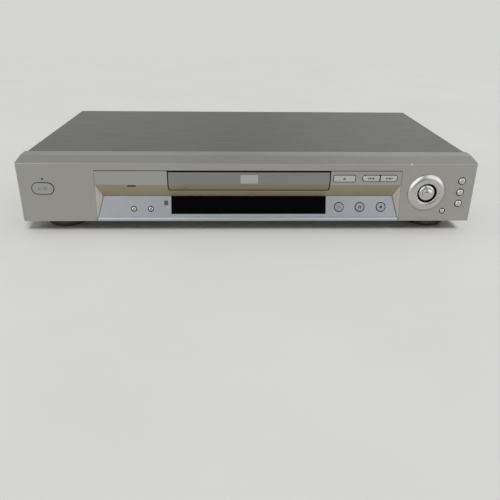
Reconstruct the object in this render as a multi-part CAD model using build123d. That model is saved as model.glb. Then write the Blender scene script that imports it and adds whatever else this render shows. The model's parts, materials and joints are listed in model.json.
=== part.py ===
from build123d import *
import math
import os

# Disc player with a front-loading tray, in millimetres.
# X runs to the right, Y to the back and Z up. Z = 0 is the surface that the feet stand on.
# Depths are measured back from the flat front face of the bezel.

# Overall sizes
player_width = 430.0
body_depth = 239.7
front_reach = 5.0
rear_reach = 8.0
foot_height = 14.5

# Front bezel, from the bottom edge up
bezel_drop = 1.0
lip_height = 3.5
lip_setback = 1.5
lip_flat = 1.5
panel_rise = 19.4
groove_depth = 8.0
bevel_height = 13.6
band_height = 12.9
header_height = 7.1
shoulder_rise = 3.0
shoulder_depth = 18.0
shelf_rise = 0.3
bezel_depth = 32.3
bezel_wall = 2.4
bezel_floor_depth = 14.8
corner_radius = 2.5
front_edge_radius = 0.6
groove_end_inset = 5.5
groove_flare = 2.0
header_line_width = 0.6
header_line_depth = 0.8
side_line_width = 0.4
side_line_depth = 0.5

# Control panel and its window
panel_thickness = 2.0
panel_gap = 0.35
panel_end_gap = 0.6
window_half_width = 74.5
window_height = 17.7
window_gap = 0.15
window_ledge = 2.0

# Tray door
door_half_width = 75.5
door_corner = 1.6
door_thickness = 3.0
door_bottom_drop = 6.2
door_gap = 1.0
door_top_gap = 1.3
door_edge_chamfer = 0.5
door_lug_spacing = 52.0
door_lug_half = 8.0
plaque_width = 16.4
plaque_height = 8.3
plaque_proud = 0.3
plaque_above_bevel = 5.25

# Sheet metal case
sheet = 0.9
cover_inset = 1.7
cover_bend = 1.6
cover_step = 0.1
cover_bottom_gap = 0.7
case_gap = 0.3
pan_flange = 16.0
rear_flange = 10.0
standoff_height = 6.0
standoff_radius = 3.0

# Feet
foot_radius = 21.0
foot_taper = 0.5
foot_side_inset = 31.5
front_foot_depth = 40.0
rear_foot_depth = 205.0
pad_radius = 16.0
pad_thickness = 2.0
pad_proud = 0.5
foot_stud_radius = 2.5
foot_stud_length = 3.0

# Buttons
button_gap = 0.55
button_travel = 0.6
flange_lip = 1.35
flange_thickness = 1.2
flange_clearance = 0.15
stem_radius = 1.5
power_width = 20.6
power_height = 11.5
power_rim = 0.5
power_rim_depth = 0.6
eject_width = 21.4
eject_height = 7.4
eject_corner = 1.8
skip_width = 34.0
skip_height = 6.9
skip_split = 0.8
round_button = 7.5
display_button_size = 5.8
transport_size = 9.6
transport_gap = 0.75
mode_size = 5.7

# Gaps along the front from the door to the right end; they stretch or shrink with the width
eject_margin = 3.2
skip_margin = 5.9
groove_margin = 3.55
ring_margin = 7.75
menu_margin = 10.65
end_margin = 9.55

# Places of the other pieces on the front, sideways from the window and upwards from the bezel's levels
power_inset = 23.1
display_aside = 17.9
panel_side_width = 69.05
transport_offsets = (12.7, 33.0, 53.6)
mode_offsets = (35.6, 19.4)
sensor_offset = 4.8
power_rise = 32.5
stick_rise = 28.5
menu_rises = (40.1, 28.9, 17.8)
display_rise = 10.2
eject_rise = 6.0
skip_rise = 6.2
transport_rise = 9.0
mode_rise = 7.4
sensor_rise = 12.7

# Small windows: lamp, mode lamp and remote sensor
lamp_aside = 0.5
lamp_above = 9.3
lamp_radius = 0.8
dash_drop = 1.8
dash_size = (7.7, 1.3)
sensor_size = (3.6, 4.2)
light_pipe_gap = 0.1

# Joystick and the ring round it
ring_radius = 18.0
ring_gap = 0.3
ring_seat_radius = 16.2
ring_seat_depth = 1.0
ring_height = 2.5
ring_rim_height = 0.5
ring_bore = 9.2
ring_depth = 2.0
knob_skirt_radius = 7.9
knob_dome_radius = 4.5
knob_stem_radius = 2.0
knob_tilt_gap = 0.3
stick_pivot_depth = 12.5
gimbal_outer = 6.8
gimbal_inner = 5.0
gimbal_half = 2.0
gimbal_pin_radius = 1.0
gimbal_pin_length = 2.4
stick_ear_gap = 0.6
stick_ear_thickness = 2.2
stick_ear_half = 3.0
stick_base_half = 5.0
collar_radius = 4.0
collar_half = 1.7
collar_pin_radius = 0.8
running_clearance = 0.06

# Front board
board_thickness = 1.6
front_board_depth = 20.0
front_board_side_gap = 8.0
front_board_notch = 84.0
front_board_below = 3.4
front_board_above = 2.9
front_board_notch_drop = 9.0
switch_size = 6.0
switch_height = 3.5
plunger_radius = 1.7
plunger_height = 1.0
plunger_gap = 0.1
boss_radius = 2.6
boss_door_gap = 24.5
boss_side_inset = 12.0
boss_groove_gap = 21.45
boss_above_band = 1.6
boss_below_band = 1.0
boss_above_lip = 2.0
small_screw_radius = 1.2
small_head_radius = 2.6
small_head_height = 1.6
tube_half_width = 55.0
tube_height = 16.0
tube_thickness = 5.0
tube_board_gap = 0.3
tube_leg_inset = 4.0
tube_leg_radius = 1.2

# Disc loader: tray and frame
disc_depth = 90.0
disc_well_radius = 60.5
small_well_radius = 41.0
well_depth = 2.5
small_well_depth = 1.5
tray_floor = 1.7
tray_half_width = 68.0
tray_rail = 4.0
tray_rail_drop = 3.3
tray_front = 6.0
tray_front_wall = 2.0
tray_hold = 34.0
tray_travel = 148.0
tray_slot_half_width = 21.0
front_notch_radius = 11.0
side_notch_radius = 9.0
rack_back = 3.0
tray_top_below_header = 3.5
guide_gap = 0.3
frame_wall = 3.0
frame_side_gap = 1.5
frame_floor_thickness = 2.0
frame_clearance = 6.5
frame_rear_depth = 200.0
frame_front_depth = 26.0
frame_nose_depth = 13.0
frame_nose_drop = 7.5
frame_opening_half = 42.0
frame_foot_radius = 4.5
frame_foot_inset = 8.0
frame_rear_drop = 4.0
ledge_thickness = 2.2
ledge_inset = 1.0
guide_tab_overlap = 2.0
guide_tab_depths = (13.0, 70.0, 130.0)
guide_tab_length = 10.0
pivot_ear_half = 5.0
pivot_ear_top = 4.0
cam_rib_gap = 0.3
cam_rib_thickness = 2.0
cam_rib_height = 1.5
cam_rib_left = 34.0
cam_rib_right = 52.0
gear_post_radius = 4.0
motor_cup_wall = 2.0
bridge_thickness = 1.2
bridge_length = 60.0
bridge_window = (26.0, 34.0)
bridge_window_x = 42.0
bridge_rib_x = 24.0
bridge_rib_height = 1.5

# Loading gears
rack_module = 1.0
drive_teeth = 20
wheel_module = 0.8
wheel_teeth = 50
pinion_teeth = 12
gear_depth = 37.0
gear_backlash = 0.16
rack_pitch_x = -56.0
gear_face = 2.6
wheel_face = 2.2
pulley_radius = 13.0
motor_pulley_radius = 3.2
pulley_thickness = 3.0
belt_thickness = 1.2
belt_clearance = 0.25
loading_motor_x = 15.0
loading_motor_radius = 12.0
loading_motor_height = 12.3
gear_pin_radius = 2.0
drive_hub_radius = 5.0
pinion_overlap = 0.3

# Traverse unit
turntable_radius = 14.5
turntable_hub_radius = 7.35
turntable_rise = 1.5
turntable_height = 5.4
turntable_thickness = 1.8
turntable_sleeve = 1.5
mat_depth = 0.3
mat_edge = 0.8
hub_chamfer = 1.2
hub_height = 2.0
spindle_radius = 1.0
spindle_motor_radius = 12.0
spindle_motor_height = 9.0
clamper_gap = 0.3
clamper_radius = 14.5
clamper_neck_radius = 11.5
clamper_flange_radius = 15.5
clamper_flange_thickness = 1.6
clamper_bridge_gap = 0.8
clamper_pocket_gap = 0.4
clamper_dish = (7.0, 0.8)
plate_half_width = 53.0
plate_thickness = 2.0
plate_front_depth = 60.0
sled_window_gap = 5.0
cheek_thickness = 3.0
cheek_drop = 3.4
rod_holder_half = 3.0
rod_holder_length = 3.0
cam_arm_half = 4.0
cam_arm_gap = 1.4
cam_arm_drop = 3.0
cam_pin_overlap = 1.2
bracket_reach = 15.0
bracket_thickness = 1.5
bracket_gap = 0.6
bracket_post = 13.2
bracket_half = 5.0
pivot_depth = 168.0
pivot_pin_radius = 2.0
pivot_pin_length = 5.0
tilt_degrees = 3.7
cam_travel = 18.0
cam_thickness = 2.4
cam_left = -26.0
cam_right = 32.0
cam_crest = (-8.0, 20.0)
cam_shoulder = 6.0
cam_above_pin = 5.0
cam_pin_radius = 1.9
cam_pin_clearance = 0.25
cam_pin_drop = 9.0
lens_start = 24.0
sled_travel = 34.0
sled_half_width = 28.0
sled_length = 26.0
sled_height = 7.0
actuator_width = 20.0
actuator_length = 22.0
actuator_below_lens = 1.5
rod_radius = 1.5
rod_x = 24.0
lens_radius = 4.2
lens_travel = 0.4
feed_module = 0.8
feed_teeth = 24
feed_gear_depth = 118.0
feed_motor_radius = 8.0
feed_motor_height = 10.0

# Boards and sockets in the back
power_board_gap = 14.7
power_board_length = 108.0
main_board_gap = 8.7
main_board_length = 168.0
board_edge = 6.0
board_rear_gap = 2.0
jack_columns = 5
jack_pitch = 19.0
jack_side_inset = 35.0
jack_rows_z = (32.0, 48.0)
jack_barrel_radius = 4.15
jack_barrel_step = 0.3
jack_bore_radius = 1.7
jack_insert_radius = 6.2
jack_insert_proud = 1.2
jack_block_depth = 14.0
inlet_side_inset = 37.0
inlet_z = 35.0
inlet_width = 26.0
inlet_height = 18.0
inlet_socket_width = 17.0
inlet_socket_height = 8.6
inlet_socket_depth = 12.0
inlet_pin_radius = 1.2
inlet_pin_spacing = 8.6
inlet_proud = 1.4
inlet_back_wall = 4.0
inlet_leg_length = 8.0

# Parts on the boards: place as a share of the board's width and length, then size and height
power_cans = ((0.203, 0.463, 11, 27), (0.847, 0.778, 5, 16), (0.729, 0.778, 5, 16), (0.610, 0.815, 6.5, 20),
              (0.864, 0.648, 4, 12))
transformer_place = (0.712, 0.444)
core_width = 32.0
core_depth = 12.0
core_height = 22.0
core_leg = 6.0
core_yoke = 5.0
winding_depth = 24.0
winding_gap = 0.3
winding_corner = 4.0
bobbin_base = (28.0, 28.0, 2.9)
bobbin_gap = 0.1
sink_place = (0.39, 0.278)
sink_height = 24.0
fin_count = 5
fin_pitch = 7.5
fin_thickness = 1.6
power_blocks = ((0.788, 0.148, 18, 8, 6), (0.280, 0.685, 26, 12, 11))
main_chips = ((0.50, 0.357, 28, 28, 3.0), (0.226, 0.310, 18, 8, 1.8), (0.226, 0.393, 18, 8, 1.8),
              (0.758, 0.345, 12, 20, 2.2), (0.484, 0.619, 20, 14, 2.2), (0.210, 0.595, 10, 10, 1.8),
              (0.774, 0.595, 14, 10, 1.8), (0.484, 0.131, 16, 12, 2.0))
connector_share = 0.403
connector_width = 32.0
connector_length = 6.0
connector_height = 8.0
ribbon_width = 28.0
ribbon_thickness = 0.5
ribbon_overlap = 12.0

# Vent slots: length and width of each
pan_vent_count = 7
pan_vent_pitch = 9.0
pan_vent_inset = 42.1
pan_vent_depth = 90.0
pan_vent_size = (34.0, 3.2)
rear_vent_count = 10
rear_vent_pitch = 7.0
rear_vent_aside = 28.5
rear_vent_size = (22.0, 2.8)

# Screws of the case
screw_radius = 1.5
screw_head_radius = 3.4
screw_head_height = 1.6
cross_reach = 2.0
cross_half = 0.5
cross_depth = 0.8
side_screw_depths = (62.0, 205.0)
side_screw_z = 25.0
rear_screw_inset = 25.0

# Levels and planes worked out from the sizes
front_y = front_reach - (front_reach + body_depth + rear_reach) / 2
bezel_bottom_z = foot_height - bezel_drop
lip_top_z = bezel_bottom_z + lip_height
groove_z = lip_top_z + panel_rise
band_bottom_z = groove_z + bevel_height
band_top_z = band_bottom_z + band_height
front_top_z = band_top_z + header_height
shoulder_z = front_top_z + shoulder_rise
bezel_top_z = shoulder_z + shelf_rise
cover_top_z = bezel_top_z + cover_step
half_width = player_width / 2
cover_half_width = half_width - cover_inset
pan_half_width = cover_half_width - sheet - case_gap
pan_top_z = foot_height + sheet
board_z = pan_top_z + standoff_height
rear_face_depth = body_depth - sheet - case_gap
inlet_x = inlet_side_inset - half_width
rear_screw_x = (rear_screw_inset - half_width, 0.0, half_width - rear_screw_inset)
tray_top_z = band_top_z - tray_top_below_header
well_floor_z = tray_top_z - well_depth
small_well_floor_z = well_floor_z - small_well_depth
tray_under_z = small_well_floor_z - tray_floor
tray_rail_z = tray_under_z - tray_rail_drop
tray_length = tray_travel + tray_hold
frame_inner = tray_half_width + frame_side_gap
frame_outer = frame_inner + frame_wall
frame_bottom_z = pan_top_z + frame_clearance
frame_floor_z = frame_bottom_z + frame_floor_thickness
frame_top_z = tray_top_z + guide_gap + frame_wall
bridge_z = frame_top_z + 0.1
seat_z = well_floor_z + turntable_rise
switch_front_depth = front_board_depth - switch_height - plunger_height
stem_end_depth = switch_front_depth - plunger_gap - button_travel

# Layout along the front
margins = eject_margin + skip_margin + groove_margin + ring_margin + menu_margin + end_margin
row_slack = half_width - door_half_width - eject_width - skip_width - 2 * ring_radius - round_button
stretch = row_slack / margins
eject_x = door_half_width + stretch * eject_margin + eject_width / 2
skip_x = eject_x + eject_width / 2 + stretch * skip_margin + skip_width / 2
groove_half_width = skip_x + skip_width / 2 + stretch * groove_margin
stick_x = groove_half_width + stretch * ring_margin + ring_radius
menu_column_x = stick_x + ring_radius + stretch * menu_margin + round_button / 2
panel_stretch = (groove_half_width - window_half_width) / panel_side_width
transport_x = [window_half_width + panel_stretch * offset for offset in transport_offsets]
mode_x = [-window_half_width - panel_stretch * offset for offset in mode_offsets]

bevel_slope = groove_depth / bevel_height
slope_length = math.hypot(groove_depth - lip_setback, panel_rise)
slope_wall = bezel_wall + panel_thickness + 0.1
slope_normal = (0.0, -panel_rise / slope_length, (groove_depth - lip_setback) / slope_length)


def at(depth):
    """Y of a depth behind the front face."""
    return front_y + depth


def block(x0, x1, depth0, depth1, z0, z1):
    """Box between two corners, with depths for Y."""
    place = Pos((x0 + x1) / 2, at((depth0 + depth1) / 2), (z0 + z1) / 2)
    return place * Box(x1 - x0, depth1 - depth0, z1 - z0)


def rod_along_x(x0, x1, depth, z, radius):
    return Pos((x0 + x1) / 2, at(depth), z) * Rot(0, 90, 0) * Cylinder(radius, x1 - x0)


def rod_along_y(x, depth0, depth1, z, radius):
    return Pos(x, at((depth0 + depth1) / 2), z) * Rot(90, 0, 0) * Cylinder(radius, depth1 - depth0)


def rod_along_z(x, depth, z0, z1, radius):
    return Pos(x, at(depth), (z0 + z1) / 2) * Cylinder(radius, z1 - z0)


def side_prism(outline, x0, x1):
    """An outline of (depth, z) run from x0 to x1."""
    return Pos(x0, front_y, 0) * extrude(Plane.YZ * outline, amount=x1 - x0, dir=(1, 0, 0))


def front_prism(outline, depth0, depth1):
    """An outline of (x, z) run from one depth back to another."""
    return Pos(0, at(depth1), 0) * extrude(Plane.XZ * outline, amount=depth1 - depth0, dir=(0, -1, 0))


def top_prism(outline, z0, z1):
    """An outline of (x, depth) run from z0 up to z1."""
    return Pos(0, front_y, z0) * extrude(Plane.XY * outline, amount=z1 - z0, dir=(0, 0, 1))


def polygon(*points):
    return Polygon(*points, align=None)


def face_plane(x, z):
    """Plane on the flat front face, looking out of it."""
    return Plane(origin=(x, front_y, z), x_dir=(1, 0, 0), z_dir=(0, -1, 0))


def slope_depth(z):
    """Depth of the control panel's front surface at a height."""
    return lip_setback + (z - lip_top_z) * (groove_depth - lip_setback) / panel_rise


def slope_plane(x, z):
    """Plane on the control panel's sloping surface, looking out of it."""
    return Plane(origin=(x, at(slope_depth(z)), z), x_dir=(1, 0, 0), z_dir=slope_normal)


def slope_point(along, inward):
    """Depth and height of a point up the slope from its lower edge and inward from its surface."""
    up_depth = (groove_depth - lip_setback) / slope_length
    up_z = panel_rise / slope_length
    depth = lip_setback + along * up_depth + inward * up_z
    return (depth, lip_top_z + along * up_z - inward * up_depth)


def gear_outline(module, teeth, tooth_angle, steps=3):
    """Involute gear outline, with one tooth centred on tooth_angle (degrees)."""
    pitch = module * teeth / 2
    base = pitch * math.cos(math.radians(20))
    tip = pitch + module
    root = pitch - 1.25 * module
    start = max(base, root)
    half_pitch_angle = math.pi / (2 * teeth) - gear_backlash / (4 * pitch)
    involute_at_pitch = math.tan(math.radians(20)) - math.radians(20)

    def flank_angle(radius):
        pressure = math.acos(min(1.0, base / radius))
        return half_pitch_angle + involute_at_pitch - (math.tan(pressure) - pressure)

    radii = [start + (tip - start) * step / steps for step in range(steps + 1)]
    points = []
    for tooth in range(teeth):
        centre = math.radians(tooth_angle) + 2 * math.pi * tooth / teeth
        rising = [(root, -flank_angle(start))] + [(radius, -flank_angle(radius)) for radius in radii]
        falling = [(radius, -angle) for radius, angle in reversed(rising)]
        for radius, angle in rising + falling:
            points.append((radius * math.cos(centre + angle), radius * math.sin(centre + angle)))
    kept = [point for index, point in enumerate(points) if math.dist(point, points[index - 1]) > 0.001]
    return polygon(*kept)


def rack_outline(module, pitch_x, side, depth0, depth1, gap_depth, back):
    """Rack outline of (x, depth) with teeth facing side (+1 or -1) and a gap centred at gap_depth."""
    pitch = math.pi * module
    tip_x = pitch_x + side * module
    root_x = pitch_x - side * 1.25 * module
    tip_half = pitch / 4 - module * math.tan(math.radians(20)) - gear_backlash / 4
    root_half = pitch / 4 + 1.25 * module * math.tan(math.radians(20)) - gear_backlash / 4
    first = math.ceil((depth0 + root_half - gap_depth) / pitch - 0.5)
    last = math.floor((depth1 - root_half - gap_depth) / pitch - 0.5)
    points = [(root_x - side * back, depth0), (root_x, depth0)]
    for tooth in range(first, last + 1):
        centre = gap_depth + (tooth + 0.5) * pitch
        points.append((root_x, centre - root_half))
        points.append((tip_x, centre - tip_half))
        points.append((tip_x, centre + tip_half))
        points.append((root_x, centre + root_half))
    points += [(root_x, depth1), (root_x - side * back, depth1)]
    return polygon(*points)


def slope_foot(inward):
    """Depth and height where a line parallel to the slope, inward from it, meets the bottom edge's level."""
    up_depth = (groove_depth - lip_setback) / slope_length
    up_z = panel_rise / slope_length
    return slope_point((inward * up_depth - lip_height) / up_z, inward)


def lip_edges():
    """The front of the control panel's lip: a rounded top edge over a short flat."""
    lip_start = (0, bezel_bottom_z + lip_flat)
    return [TangentArc(lip_start, slope_point(0, 0), tangent=(0, 1)), Line(lip_start, (0, bezel_bottom_z))]


def groove_profile(recess):
    """Outline of (depth, z) of the groove's space; recess lets the control panel and its lip in."""
    over = 1.0
    low_z = bezel_bottom_z - over
    high_z = band_bottom_z + over / bevel_slope
    edges = [Line((-over, high_z), (groove_depth, groove_z))]
    if recess > 0:
        foot = slope_foot(recess)
        edges.append(Line((groove_depth, groove_z), slope_point(slope_length, recess)))
        edges.append(Line(slope_point(slope_length, recess), foot))
        edges.append(Line(foot, (foot[0], low_z)))
        edges.append(Line((foot[0], low_z), (-over, low_z)))
    else:
        edges.append(Line((groove_depth, groove_z), slope_point(0, 0)))
        edges += lip_edges()
        edges.append(Line((0, bezel_bottom_z), (0, low_z)))
        edges.append(Line((0, low_z), (-over, low_z)))
    edges.append(Line((-over, low_z), (-over, high_z)))
    return Sketch() + Face(Wire(edges))


def groove_end(z):
    """Half width of the groove on the front face at a height; it flares towards the bottom edge."""
    return groove_half_width + groove_flare * (band_top_z - z) / (band_top_z - bezel_bottom_z)


def groove_plan(z, grow):
    """Outline of (x, depth) of the groove at a height, narrower towards its back."""
    spread = groove_end_inset / groove_depth
    over = 1.0
    back = groove_depth + bezel_wall + panel_thickness + over
    front_x = groove_end(z) + over * spread
    back_x = groove_end(z) - back * spread
    plan = polygon((-front_x, -over), (front_x, -over), (back_x, back), (-back_x, back))
    if grow:
        plan = offset(plan, amount=grow, kind=Kind.INTERSECTION)
    return plan


def groove_ends(grow=0.0):
    """The space between the groove's end walls, or that space grown by a wall."""
    low_z = bezel_bottom_z - bezel_wall - 1
    levels = [Pos(0, front_y, z) * groove_plan(z, grow) for z in (low_z, front_top_z)]
    return loft(levels, ruled=True)


def groove_space(recess=0.0, grow=0.0):
    """The space of the groove, or that space grown on all sides by a wall."""
    profile = groove_profile(recess)
    if grow:
        profile = offset(profile, amount=grow, kind=Kind.INTERSECTION)
    return side_prism(profile, -half_width, half_width) & groove_ends(grow)


def door_outline(grow=0.0, top_grow=0.0):
    """Outline of (x, z) of the tray door, or of its opening when grown."""
    top_z = band_top_z - door_top_gap + top_grow
    bottom_z = band_bottom_z - door_bottom_drop - grow
    half = door_half_width + grow
    outline = polygon((-half, top_z), (-half, bottom_z), (half, bottom_z), (half, top_z))
    lower = [corner for corner in outline.vertices() if corner.Y < (top_z + bottom_z) / 2]
    return fillet(lower, door_corner)


def half_slot(width, height, split, side):
    """One half of a stadium cut down its middle, with a gap of split between the halves."""
    half = (width - split) / 2
    place = Pos(side * (split + half) / 2, 0)
    return SlotOverall(width, height) & (place * Rectangle(half, height))


# X and Z of the pieces on the front
power_place = (stretch * power_inset - half_width, bezel_bottom_z + power_rise)
eject_place = (eject_x, band_bottom_z + eject_rise)
skip_place = (skip_x, band_bottom_z + skip_rise)
stick_place = (stick_x, bezel_bottom_z + stick_rise)
display_place = (stick_x + display_aside, bezel_bottom_z + display_rise)
lamp_place = (power_place[0] + lamp_aside, power_place[1] + lamp_above)
dash_place = (mode_x[0], band_bottom_z - dash_drop)
sensor_place = (-window_half_width - panel_stretch * sensor_offset, lip_top_z + sensor_rise)


def inset(outline, amount):
    return offset(outline, amount=-amount)


def face_buttons():
    """Buttons on the flat front: name, (x, z), hole outline, cap outline, proud, rounding."""
    power = SlotOverall(power_width, power_height)
    eject = RectangleRounded(eject_width, eject_height, eject_corner)
    skip = SlotOverall(skip_width, skip_height)
    cap_w = skip_width - 2 * button_gap
    cap_h = skip_height - 2 * button_gap
    rows = [
        ("power_button", power_place, power, inset(power, button_gap), 0.5, 0.4),
        ("eject_button", eject_place, eject, inset(eject, button_gap), 0.7, 0.6),
        ("previous_button", skip_place, skip, half_slot(cap_w, cap_h, skip_split, -1), 0.7, 0.6),
        ("next_button", skip_place, skip, half_slot(cap_w, cap_h, skip_split, 1), 0.7, 0.6),
    ]
    menu_names = ("top_menu_button", "menu_button", "return_button")
    for name, rise in zip(menu_names, menu_rises):
        cap = Circle(round_button / 2 - button_gap)
        place = (menu_column_x, bezel_bottom_z + rise)
        rows.append((name, place, Circle(round_button / 2), cap, 1.4, 1.8))
    cap = Circle(display_button_size / 2 - button_gap)
    rows.append(("display_button", display_place, Circle(display_button_size / 2), cap, 0.9, 1.4))
    return rows


def slope_buttons():
    """Buttons on the control panel, in the same form."""
    rows = []
    for name, x in zip(("play_button", "pause_button", "stop_button"), transport_x):
        cap = Circle(transport_size / 2 - transport_gap)
        place = (x, lip_top_z + transport_rise)
        rows.append((name, place, Circle(transport_size / 2), cap, 0.7, 0.5))
    for name, x in zip(("picture_button", "surround_button"), mode_x):
        cap = Circle(mode_size / 2 - button_gap)
        rows.append((name, (x, lip_top_z + mode_rise), Circle(mode_size / 2), cap, 0.9, 1.3))
    return rows


def stem_start(name, plane, wall):
    """X, depth and Z where a button's stem leaves its flange, in the middle of the cap."""
    middle = plane.offset(-(wall + flange_clearance + flange_thickness / 2)).origin
    aside = {"previous_button": -skip_width / 4, "next_button": skip_width / 4}
    return (middle.X + aside.get(name, 0.0), middle.Y - front_y, middle.Z)


def push_button(name, plane, place, cap, proud, rounding, wall):
    """Cap through the wall, a flange behind it and a stem towards its switch."""
    outside = plane.offset(proud)
    body = extrude(outside * cap, amount=-(proud + wall + flange_clearance + flange_thickness / 2))
    front_edges = [edge for edge in body.edges() if outside.to_local_coords(edge.center()).Z > -0.01]
    body = fillet(front_edges, rounding)
    flange_back = plane.offset(-(wall + flange_clearance + flange_thickness))
    body += extrude(flange_back * offset(cap, amount=flange_lip), amount=flange_thickness)
    stem_x, stem_depth, stem_z = stem_start(name, plane, wall)
    body += rod_along_y(stem_x, stem_depth, stem_end_depth, stem_z, stem_radius)
    if name in ("previous_button", "next_button"):
        side = -1 if name == "previous_button" else 1
        middle = block(-half_width, half_width, -5, 30, 0, 100)
        keep = Pos(side * (half_width + skip_split / 2) + place[0], 0, 0) * middle
        body = body & keep
    return body


def switch_places():
    """X and Z of the switch behind each button."""
    starts = [stem_start(row[0], face_plane(*row[1]), bezel_wall) for row in face_buttons()]
    starts += [stem_start(row[0], slope_plane(*row[1]), slope_wall) for row in slope_buttons()]
    return [(x, z) for x, depth, z in starts]


# Board fixing screws, on the bezel's bosses
boss_places = []
for side in (-1, 1):
    boss_places.append((side * (door_half_width + boss_door_gap), band_top_z + boss_above_band))
    boss_places.append((side * (half_width - boss_side_inset), band_top_z - boss_below_band))
    boss_places.append((side * (groove_half_width + boss_groove_gap), lip_top_z + boss_above_lip))
for pair in (mode_x, transport_x[:2]):
    boss_places.append((sum(pair) / 2, lip_top_z + boss_above_lip))


def front_bezel():
    outline = polygon(
        (0, bezel_bottom_z), (0, front_top_z), (shoulder_depth, shoulder_z),
        (bezel_depth, bezel_top_z), (bezel_depth, bezel_bottom_z))
    shell = side_prism(outline, -half_width, half_width)
    corners = [edge for edge in shell.edges().filter_by(Axis.Z) if edge.center().Y < at(1)]
    corners += [edge for edge in shell.edges().filter_by(Axis.Y) if edge.center().Z < lip_top_z]
    shell = fillet(corners, corner_radius)
    top_edge = [edge for edge in shell.edges().filter_by(Axis.X)
                if abs(edge.center().Z - front_top_z) < 0.01 and edge.center().Y < at(1)]
    shell = fillet(top_edge, front_edge_radius)

    cavity = polygon(
        (bezel_wall, bezel_bottom_z + bezel_wall), (bezel_wall, front_top_z - bezel_wall),
        (shoulder_depth, shoulder_z - bezel_wall), (bezel_depth + 1, bezel_top_z - bezel_wall),
        (bezel_depth + 1, bezel_bottom_z - 1), (bezel_floor_depth, bezel_bottom_z - 1),
        (bezel_floor_depth, bezel_bottom_z + bezel_wall))
    inner = half_width - bezel_wall
    hollow = side_prism(cavity, -inner, inner)
    recess = panel_thickness + 0.1
    hollow -= groove_space(recess, bezel_wall)
    body = shell - groove_space(recess) - hollow

    for x, z in boss_places:
        body += rod_along_y(x, bezel_wall / 2, front_board_depth, z, boss_radius) - groove_space(recess)
    line = groove_half_width
    body -= block(-line, line, -1, header_line_depth, band_top_z, band_top_z + header_line_width)
    for side in (-1, 1):
        low_x, high_x = side * groove_end(band_bottom_z), side * line
        half = side_line_width / 2
        side_line = polygon((low_x - half, band_bottom_z), (low_x + half, band_bottom_z),
                            (high_x + half, band_top_z), (high_x - half, band_top_z))
        body -= front_prism(side_line, -1, side_line_depth)
    body -= front_prism(door_outline(door_gap, door_top_gap), -1, front_board_depth)

    back = groove_depth + 8
    for name, place, hole, cap, proud, rounding in face_buttons():
        body -= extrude(face_plane(*place).offset(1) * hole, amount=-(bezel_wall + 3))
    rim = offset(SlotOverall(power_width, power_height), amount=power_rim)
    body -= extrude(face_plane(*power_place).offset(1) * rim, amount=-(1 + power_rim_depth))
    for name, place, hole, cap, proud, rounding in slope_buttons():
        body -= extrude(slope_plane(*place).offset(1) * hole, amount=-back)
        spot_face = offset(cap, amount=flange_lip + 0.3)
        body -= extrude(slope_plane(*place).offset(-(bezel_wall + recess)) * spot_face, amount=-5)

    # Opening behind the display window, with a ledge for the window all round
    view_x = window_half_width - window_ledge
    low = slope_point(slope_length - window_height + window_ledge, 0)
    high = slope_point(slope_length - window_ledge, 0)
    low_back = slope_point(slope_length - window_height + window_ledge, back)
    high_back = slope_point(slope_length - window_ledge, back)
    body -= side_prism(polygon(low, high, high_back, low_back), -view_x, view_x)

    body -= ring_hole()
    for pipe in small_window_blanks(light_pipe_gap, -1):
        body -= pipe
    for x, z in boss_places:
        body -= rod_along_y(x, front_board_depth - 8, front_board_depth + 1, z, small_screw_radius)
    return body


def ring_hole():
    """Seat and through hole for the ring round the joystick."""
    x, z = stick_place
    seat = rod_along_y(x, -1, ring_seat_depth, z, ring_radius + ring_gap)
    return seat + rod_along_y(x, -1, bezel_wall + 2, z, ring_seat_radius + 0.1)


def small_window_blanks(grow, front):
    """The three light pipes, from a depth in front of the face back to the front board."""
    end = front_board_depth - 0.3
    lamp = rod_along_y(lamp_place[0], front, end, lamp_place[1], lamp_radius + grow)
    blanks = [lamp]
    for place, size in ((dash_place, dash_size), (sensor_place, sensor_size)):
        half_x = size[0] / 2 + grow
        half_z = size[1] / 2 + grow
        blanks.append(block(place[0] - half_x, place[0] + half_x, front, end,
                            place[1] - half_z, place[1] + half_z))
    return blanks


def small_windows():
    lamp, dash, sensor = small_window_blanks(0.0, 0.0)
    space = groove_space()
    return Compound([lamp, dash - space, sensor - space])


def control_panel():
    """Sloping strip with a lip along its foot, notched for the window and pierced for its buttons."""
    top = slope_length - panel_gap
    foot = slope_foot(panel_thickness)
    edges = lip_edges()
    edges.append(Line((0, bezel_bottom_z), foot))
    edges.append(Line(foot, slope_point(top, panel_thickness)))
    edges.append(Line(slope_point(top, panel_thickness), slope_point(top, 0)))
    edges.append(Line(slope_point(top, 0), slope_point(0, 0)))
    strip = side_prism(Sketch() + Face(Wire(edges)), -half_width, half_width)
    strip = strip & groove_ends(-panel_end_gap)
    low = slope_length - window_height
    notch = polygon(slope_point(low, -1), slope_point(slope_length + 1, -1),
                    slope_point(slope_length + 1, panel_thickness + 1), slope_point(low, panel_thickness + 1))
    strip -= side_prism(notch, -window_half_width, window_half_width)
    for name, place, hole, cap, proud, rounding in slope_buttons():
        strip -= extrude(slope_plane(*place).offset(1) * hole, amount=-(panel_thickness + 2))
    sensor = small_window_blanks(light_pipe_gap, -1)[2]
    return strip - sensor


def display_window():
    low = slope_length - window_height + window_gap
    top = slope_length - panel_gap
    outline = polygon(slope_point(low, 0), slope_point(top, 0),
                      slope_point(top, panel_thickness), slope_point(low, panel_thickness))
    half = window_half_width - window_gap
    return side_prism(outline, -half, half)


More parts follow.
